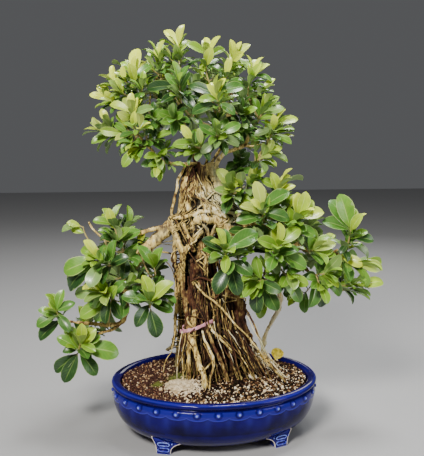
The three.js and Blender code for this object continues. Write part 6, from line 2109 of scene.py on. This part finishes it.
@dataclass
class Pot:
    """The oval pot with its lip, studded band and swags, and its four cloud feet."""

    half_length: float = 200.0
    half_depth: float = 163.0
    sides: int = 720
    studs: int = 30
    stud_phase: float = 0.07
    stud_height: float = 87.0
    stud_radius: float = 4.4
    stud_inset: float = 3.5
    turn_steps: int = 2881
    foot_across: float = 107.0
    foot_deep: float = 104.0
    foot_turn: float = math.radians(20)
    wall_radius: float = 171.0
    outline_steps: int = 4000
    foot_thick: float = 19.0
    foot_border: float = 1.8
    foot_sunk: float = 1.6
    scroll_at: float = 18.2
    scroll_thick: float = 1.25
    foot_voxel: float = 0.8
    cloud: tuple = (
        (12.4, 0), (13.4, 1.6), (13.8, 5), (15, 9.5), (18.5, 14), (24.5, 17.6), (32, 20), (41, 22), (41, 31))
    outer_cloud: tuple = ((12.4, 0), (13.4, 1.6), (13.8, 5), (14.6, 12), (16.4, 18), (20, 24), (24, 31))
    scroll: tuple = (
        ((-10.5, 8), (-9, 5.2), (0, 4.8), (8.5, 5.2), (10.5, 8), (8.5, 11), (0, 11.4), (-6.5, 11.2)),
        ((-7, 15.2), (0, 15.6), (8, 15.4), (10.8, 18), (8.5, 20.6), (0, 21.4), (-8.5, 20.6), (-10.8, 17.8),
         (-7, 15.2)),
        ((-15.6, 18.2), (-16.2, 20.6)), ((15.6, 18.2), (16.2, 20.6)))
    outside: tuple = (
        (66, 8), (56, 9.4), (45, 12.5), (34, 18), (25, 25), (17.6, 33), (12, 41), (7.6, 51), (4.5, 62),
        (3.4, 70), (3.2, 74), (2.9, 84), (3.5, 90), (6.2, 93.2), (6.6, 94.8), (4.2, 96.4), (1.4, 98),
        (0.1, 100.2), (0, 102), (1.0, 104.3), (3.2, 106), (6, 106.9), (8.5, 107), (11.5, 106.6), (14, 105.5),
        (16.2, 103.8), (17, 102))
    inside: tuple = ((18, 96), (22, 56), (60, 20))

    def rows(self) -> list[tuple[float, float]]:
        """The profile in fine steps, finest over the swags."""
        points = [np.array([inset, height]) for inset, height in self.outside]
        line = smooth(points, 3)
        fine = [(inset, height) for inset, height in line if not 71 < height < 92]
        band = [(float(np.interp(height, (62, 70, 74, 84, 92), (4.5, 3.4, 3.2, 2.9, 4.9))), float(height))
                for height in np.arange(71.4, 91.6, 0.85)]
        low = [row for row in fine if row[1] <= 71]
        high = [row for row in fine if row[1] >= 92]
        return [*low, *band, *high, *self.inside]

    def stud_share(self, turn: np.ndarray) -> np.ndarray:
        """How far round the oval a turn lies, counted in studs."""
        a, b = self.half_length - self.stud_inset, self.half_depth - self.stud_inset
        steps = np.linspace(0, 2 * math.pi, self.turn_steps)
        run = np.append(0, np.cumsum(np.hypot(a * np.diff(np.cos(steps)), b * np.diff(np.sin(steps)))))
        return np.interp(turn % (2 * math.pi), steps, run / run[-1] * self.studs) - self.stud_phase

    def out_at(self, x: float, y: float) -> np.ndarray:
        """The direction square to the pot's wall at a place in the plan."""
        return unit(np.array([x / self.half_length**2, y / self.half_depth**2, 0.0]))

    def body(self) -> bpy.types.Object:
        """Models the bowl from one oval, ring by ring."""
        rows = self.rows()
        bpy.ops.object.select_all(action="DESELECT")
        bpy.ops.mesh.primitive_circle_add(vertices=self.sides, radius=1.0, fill_type="NGON")
        bowl = bpy.context.active_object
        bowl.name = "bowl"
        inset, height = rows[0]
        half = (self.half_length - inset) * MM, (self.half_depth - inset) * MM
        bowl.data.transform(Matrix.Diagonal((*half, 1.0, 1.0)))
        bowl.data.transform(Matrix.Translation((VIEW.pot_right * MM, 0.0, height * MM)))
        bpy.ops.object.mode_set(mode="EDIT")
        bpy.ops.mesh.select_all(action="SELECT")
        bpy.context.scene.tool_settings.transform_pivot_point = "MEDIAN_POINT"
        for (inset, height), (next_inset, next_height) in zip(rows, rows[1:]):
            rise = (next_height - height) * MM
            bpy.ops.mesh.extrude_region_move(TRANSFORM_OT_translate={"value": (0, 0, rise)})
            grow = ((self.half_length - next_inset) / (self.half_length - inset),
                    (self.half_depth - next_inset) / (self.half_depth - inset), 1.0)
            bpy.ops.transform.resize(value=grow)
        bpy.ops.mesh.select_all(action="SELECT")
        bpy.ops.mesh.normals_make_consistent(inside=False)
        bpy.ops.object.mode_set(mode="OBJECT")
        return bowl

    def decorate(self, bowl: bpy.types.Object) -> None:
        """Raises the studded band with its scalloped lower edge, stores where the glaze lies thin, and stores
        how low each point lies for the painted shade of the lower body.
        """
        points = points_of(bowl) / MM
        x, y, z = points[:, 0] - VIEW.pot_right, points[:, 1], points[:, 2]
        outer = (np.hypot(x / self.half_length, y / self.half_depth) > 0.94) & (z < 92)
        part = self.stud_share(np.arctan2(y / self.half_depth, x / self.half_length))
        part = np.abs(part - np.round(part)) * 2
        edge = 76.2 + 4.6 * part**2.6
        above = np.clip((z - edge) / 1.0, 0, 1)
        bead = np.exp(-((z - edge - 0.9) / 0.9) ** 2)
        ring = np.exp(-((np.hypot(part * 18.7, z - self.stud_height) - 6.2) / 1.3) ** 2)
        rise = (1.15 * above + 0.75 * bead - 0.5 * ring) * outer * np.clip((92 - z) / 2, 0, 1)
        outs = unit_rows(np.column_stack([x / self.half_length**2, y / self.half_depth**2, np.zeros(len(x))]))
        points += outs * rise[:, None]
        move_points(bowl, points * MM)
        streak = np.exp(-((1 - part) / 0.35) ** 2) * np.clip((z - 48) / 26, 0, 1) * (z < edge)
        thin = np.clip(0.22 * above - 0.4 * ring, 0, 1) * (z < 92) + 0.3 * bead * (z < 92) + 0.12 * streak
        rim = np.hypot(x / self.half_length, y / self.half_depth) > 0.975
        lip = np.exp(-((z - 105.2) / 1.5) ** 2) * rim
        thin = np.where(z > 93, 0.28 * lip, thin * outer)
        foot = np.clip((12 - z) / 3, 0, 1) * 0.6
        # How low a point lies on the outer wall: the glaze darkens there as painted shade
        store(bowl, "low", np.clip((74 - z) / 45, 0, 1) * outer)
        store(bowl, "thin", thin + 0.2 * (bead * outer))
        store(bowl, "worn", foot * (z < 14))
        bowl.data.shade_smooth()

    def add_studs(self) -> bpy.types.Object:
        """Models one stud and copies it round the band."""
        bpy.ops.object.select_all(action="DESELECT")
        bpy.ops.mesh.primitive_uv_sphere_add(segments=18, ring_count=10, radius=self.stud_radius * MM)
        form, faces = template(bpy.context.active_object)
        form = form / MM
        top = np.clip(form[:, 2] / self.stud_radius, 0, 1)
        maker = MeshMaker(("thin", "worn"))
        a, b = self.half_length - self.stud_inset, self.half_depth - self.stud_inset
        steps = np.linspace(0, 2 * math.pi, self.turn_steps)
        shares = self.stud_share(steps[:-1])
        for number in range(self.studs):
            turn = float(np.interp(number, shares, steps[:-1]))
            centre = np.array([a * math.cos(turn), b * math.sin(turn), self.stud_height])
            out = self.out_at(centre[0], centre[1])
            side = np.cross((0.0, 0.0, 1.0), out)
            flat = form * np.array([1.0, 1.0, 0.92])
            points = centre + out * flat[:, 2:] + side * flat[:, :1] + np.array([0, 0, 1.0]) * flat[:, 1:2]
            maker.add(points, faces, thin=0.12 + 0.8 * top**1.5, worn=0.0)
        return maker.make("studs")

    def foot_frame(self, right: int, deep: int) -> tuple[np.ndarray, np.ndarray, np.ndarray]:
        """Where a foot stands.

        Args:
            right: 1 on the right, -1 on the left.
            deep: 1 at the back, -1 at the front.

        Returns:
            Its middle, and the directions along the wall to its long wing and out from the wall.
        """
        centre = np.array([self.foot_across * right, self.foot_deep * deep, 0.0])
        out = np.array([math.sin(self.foot_turn) * right, math.cos(self.foot_turn) * deep, 0.0])
        return centre, np.cross((0.0, 0.0, 1.0), out) * right * deep, out

    def foot_outline(self) -> np.ndarray:
        """The cloud outline of a foot's face, along and up from the middle of its sole."""
        long_wing = smooth([np.array(spot, dtype=float) for spot in self.cloud], 4)
        short_wing = smooth([np.array(spot, dtype=float) for spot in self.outer_cloud], 4)
        return np.array([*long_wing, *[spot * np.array([-1, 1]) for spot in reversed(short_wing)]])

    def add_foot(self, right: int, deep: int) -> bpy.types.Object:
        """Models a cloud-shaped foot: its outline made thick, a sunk panel and a scroll of clay on it.

        Args:
            right: 1 on the right, -1 on the left.
            deep: 1 at the back, -1 at the front.

        Returns:
            The foot.
        """
        corners = [(s * MM, 0.0, z * MM) for s, z in self.foot_outline()]
        mesh = bpy.data.meshes.new("foot")
        mesh.from_pydata(corners, [], [tuple(range(len(corners)))])
        foot = link("foot", mesh)
        select_only(foot)
        bpy.ops.object.mode_set(mode="EDIT")
        bpy.ops.mesh.select_mode(type="FACE")
        bpy.ops.mesh.select_all(action="SELECT")
        bpy.ops.mesh.extrude_region_move(TRANSFORM_OT_translate={"value": (0.0, self.foot_thick * MM, 0.0)})
        bpy.ops.mesh.inset(thickness=self.foot_border * MM, depth=0, use_even_offset=False)
        bpy.ops.transform.translate(value=(0.0, -self.foot_sunk * MM, 0.0))
        bpy.ops.mesh.select_all(action="SELECT")
        bpy.ops.mesh.normals_make_consistent(inside=False)
        bpy.ops.object.mode_set(mode="OBJECT")
        scroll = MeshMaker(())
        for route in self.scroll:
            line = smooth([np.array([s, self.scroll_at, z]) for s, z in route], 4)
            scroll.add_bar(line, taper(line, self.scroll_thick, self.scroll_thick), 8)
        ridges = scroll.make("scroll")
        ridges.data.transform(Matrix.Translation((-VIEW.pot_right * MM, 0.0, 0.0)))
        select_only(foot)
        ridges.select_set(True)
        bpy.ops.object.join()
        centre, side, out = self.foot_frame(right, deep)
        local = points_of(foot) / MM
        depth = local[:, 1] - 12.0 - local[:, 0] ** 2 / (2 * self.wall_radius)
        places = centre + side * local[:, :1] + out * depth[:, None] + np.array([0, 0, 1.0]) * local[:, 2:]
        move_points(foot, VIEW.metres(places))
        return foot

    def feet(self) -> bpy.types.Object:
        """Fuses the four feet's skins into soft glazed forms and marks their bare edges."""
        stands = [(right, deep) for right in (1, -1) for deep in (1, -1)]
        feet = [self.add_foot(*stand) for stand in stands]
        select_only(feet[0])
        for foot in feet:
            foot.select_set(True)
        bpy.ops.object.join()
        piece = feet[0]
        piece.name = "pot_feet"
        fuse(piece, self.foot_voxel * MM, 2)
        proud = bulges(piece, 6) / MM
        points = points_of(piece) / MM - np.array([VIEW.pot_right, 0, 0])
        bare = np.zeros(len(points))
        outline = KDTree(self.outline_steps)
        shape = self.foot_outline()[5:-5]
        run = np.linspace(0, 1, len(shape))
        for number, share in enumerate(np.linspace(0, 1, self.outline_steps)):
            spot = [float(np.interp(share, run, shape[:, axis])) for axis in (0, 1)]
            outline.insert((spot[0], spot[1], 0.0), number)
        outline.balance()
        for right, deep in stands:
            centre, side, out = self.foot_frame(right, deep)
            along = (points - centre) @ side
            depth = (points - centre) @ out + along**2 / (2 * self.wall_radius)
            near = np.linalg.norm(points[:, :2] - centre[:2], axis=1) < 60
            for row in np.nonzero(near)[0]:
                edge = outline.find((along[row], points[row, 2], 0.0))[2]
                front = min(1.0, max(0.0, (depth[row] - 2.5) / 2)) if points[row, 2] > 1.2 else 1.0
                bare[row] = front * (1 - min(1.0, max(0.0, (edge - 0.9) / 0.8)))
        store(piece, "worn", np.clip(bare, 0, 1))
        store(piece, "thin", np.clip(proud * 2.4 + 0.2, 0, 1))
        piece.data.shade_smooth()
        return piece

    def build(self) -> None:
        """Builds the pot and dresses it."""
        bowl = self.body()
        self.decorate(bowl)
        for piece in (bowl, self.add_studs(), self.feet()):
            dress(piece, Finish.GLAZE, "glaze", "pot")


@dataclass
class SmallThings:
    """The stones on the grit, the soft tie round the roots and the two fallen leaves."""

    foliage: Foliage

    def stone(self, name: str, at: Sequence[float], half: Sequence[float], out: float, finish: Finish,
              slot: str, pits: float) -> None:
        """Models a stone bedded in the grit.

        Args:
            name: Its node.
            at: Its place as seen.
            half: Its half sizes.
            out: How far it stands out.
            finish: Its finish.
            slot: Its material slot.
            pits: The depth of its pits in millimetres.
        """
        place = VIEW.place(at)
        bpy.ops.object.select_all(action="DESELECT")
        bpy.ops.mesh.primitive_ico_sphere_add(subdivisions=6, radius=1.0)
        piece = bpy.context.active_object
        piece.name = f"{name}_form"
        ball = points_of(piece)
        lumps = 1 + 0.2 * rough(ball + at[0], 0.6, octaves=4)
        flat = np.sign(ball) * np.abs(ball) ** np.array([0.9, 0.9, 0.75])
        form = flat * lumps[:, None] * np.asarray(half) * 0.97
        pitted = np.clip(rough(form + 50, 4.5, octaves=3), -1, 0.15) * pits
        form += unit_rows(ball) * pitted[:, None]
        x, y = VIEW.plan(form[:, 0], form[:, 1])
        z = form[:, 2] + soil_height(place[0], place[1]) + out - half[2]
        move_points(piece, VIEW.metres(np.column_stack([x + place[0], y + place[1], z])))
        piece.data.shade_smooth()
        dress(piece, finish, slot, name)

    def tie(self) -> None:
        """Models the soft band and the loop of its knot."""
        maker = MeshMaker(())
        self.band(maker, smooth([VIEW.place(spot) for spot in TIE], 6), 7.0, 1.5)
        self.band(maker, smooth([VIEW.place(spot) for spot in TIE_LOOP], 5), 4.0, 1.2)
        piece = maker.make("tie_band")
        dress(piece, Finish.TIE, "tie", "tie")

    def band(self, maker: MeshMaker, line: Sequence[np.ndarray], height: float, thick: float) -> None:
        """Adds a flat band with rounded edges that stands upright along a line."""
        section = [(0.5, 0.3), (0.3, 0.47), (-0.3, 0.47), (-0.5, 0.3), (-0.5, -0.3), (-0.3, -0.47),
                   (0.3, -0.47), (0.5, -0.3)]
        points = []
        for k, point in enumerate(line):
            ahead = line[min(k + 1, len(line) - 1)] - line[max(k - 1, 0)]
            ahead = unit(ahead * np.array([1, 1, 0]))
            side = np.array([-ahead[1], ahead[0], 0])
            ripple = 1 + 0.12 * math.sin(k * 1.1)
            for u, v in section:
                points.append(point + side * u * thick + np.array([0, 0, v * height * ripple]))
        maker.add(np.array(points), tube_faces(len(line), len(section)))

    def fallen(self, name: str, foot: Sequence[float], tip: Sequence[float], width: float,
               finish: Finish) -> None:
        """Models a crumpled yellow leaf that leans on the grit.

        Args:
            name: Its node.
            foot: The place of its stalk.
            tip: The place of its tip.
            width: Its half width against its length.
            finish: Its finish.
        """
        start = VIEW.place(foot)
        blade = make_blade(start, VIEW.place(tip), unit(EYE_POINT - start), width)
        maker = MeshMaker(("across", "along", "age", "stem", "dust"), ("under",))
        self.foliage.add_leaf(maker, blade, np.random.default_rng(int(width * 100)))
        piece = maker.make(f"{name}_form")
        finer = piece.modifiers.new("finer", "SUBSURF")
        finer.levels = finer.render_levels = 2
        finish_modifiers(piece)
        points = points_of(piece)
        out = np.linalg.norm(points - points.mean(axis=0), axis=1) / (9 * MM)
        crumple = rough(points / MM, 7, octaves=2) * 0.9 + 1.4 * out**2
        move_points(piece, points + blade.face * (crumple * MM)[:, None])
        piece.data.shade_smooth()
        smooth_by_angle(piece, 60)
        dress(piece, finish, "yellow_leaf", name)

    def build(self) -> None:
        """Builds them all."""
        self.stone("white_stone", (-66, 84, -60), (31, 32, 9), 6, Finish.PALE_STONE, "pale_stone", 3.0)
        self.stone("pebble", (75, 90, -22), (8, 7, 6), 6, Finish.PEBBLE, "beige_stone", 0.3)
        self.tie()
        self.fallen("fallen_leaf_1", (119, 134.5, 102), (124, 160, 108), 0.6, Finish.YELLOW_LEAF)
        self.fallen("fallen_leaf_2", (113, 136, 84), (86, 146, 84), 0.46, Finish.OCHRE_LEAF)


@dataclass
class Studio:
    """A pale floor, soft light and a camera at the viewing point."""

    focal: float = 700 / 456 * 36

    def build(self) -> None:
        """Builds the floor, the world, the lights and the camera."""
        self.camera()
        self.floor()
        world = bpy.data.worlds.new("studio")
        bpy.context.scene.world = world
        world.use_nodes = True
        background = world.node_tree.nodes["Background"]
        background.inputs["Color"].default_value = (0.86, 0.88, 0.92, 1)
        background.inputs["Strength"].default_value = 0.11
        self.light("key", (-1.0, -1.8, 1.9), 105, 0.6, (1.0, 0.97, 0.92))
        self.light("fill", (1.8, -1.2, 1.1), 18, 0.9, (0.95, 0.97, 1.0))
        self.light("top", (0.3, 0.1, 2.2), 46, 0.6, (1.0, 1.0, 1.0))
        self.light("back", (0.9, 1.9, 1.5), 16, 0.9, (1.0, 1.0, 1.0))

    def camera(self) -> None:
        """Puts the camera at the viewing point."""
        camera = bpy.data.cameras.new("camera")
        camera.lens = self.focal
        camera.sensor_width = 36
        camera.clip_end = 50
        holder = link("camera", camera)
        holder.location = VIEW.metres(EYE_POINT)
        holder.rotation_euler = (math.radians(90) - VIEW.pitch, 0, -VIEW.turn)
        bpy.context.scene.camera = holder

    def floor(self) -> None:
        """Lays a wide pale floor."""
        bpy.ops.object.select_all(action="DESELECT")
        bpy.ops.mesh.primitive_plane_add(size=12)
        floor = bpy.context.active_object
        floor.name = "floor"
        graph = Graph("floor")
        graph.set("Base Color", (0.36, 0.36, 0.36))
        graph.set("Roughness", 0.65)
        floor.data.materials.append(graph.material)

    def light(self, name: str, place: Sequence[float], power: float, size: float, colour: Colour) -> None:
        """Adds a square soft light that looks at the plant."""
        lamp = bpy.data.lights.new(name, "AREA")
        lamp.shape = "SQUARE"
        lamp.size = size
        lamp.energy = power
        lamp.color = colour
        holder = link(name, lamp)
        holder.location = place
        holder.rotation_euler = (Vector((0.0, 0.0, 0.38)) - Vector(place)).to_track_quat("-Z", "Y").to_euler()


def main() -> None:
    """Builds the plant, its pot and the studio."""
    logging.basicConfig(level=logging.INFO, format="%(message)s")
    Studio().build()
    growth = Growth()
    growth.grow()
    foliage = Foliage(growth)
    foliage.build()
    Wood().build()
    Grit().build()
    Pot().build()
    SmallThings(foliage).build()


if __name__ == "__main__":
    main()
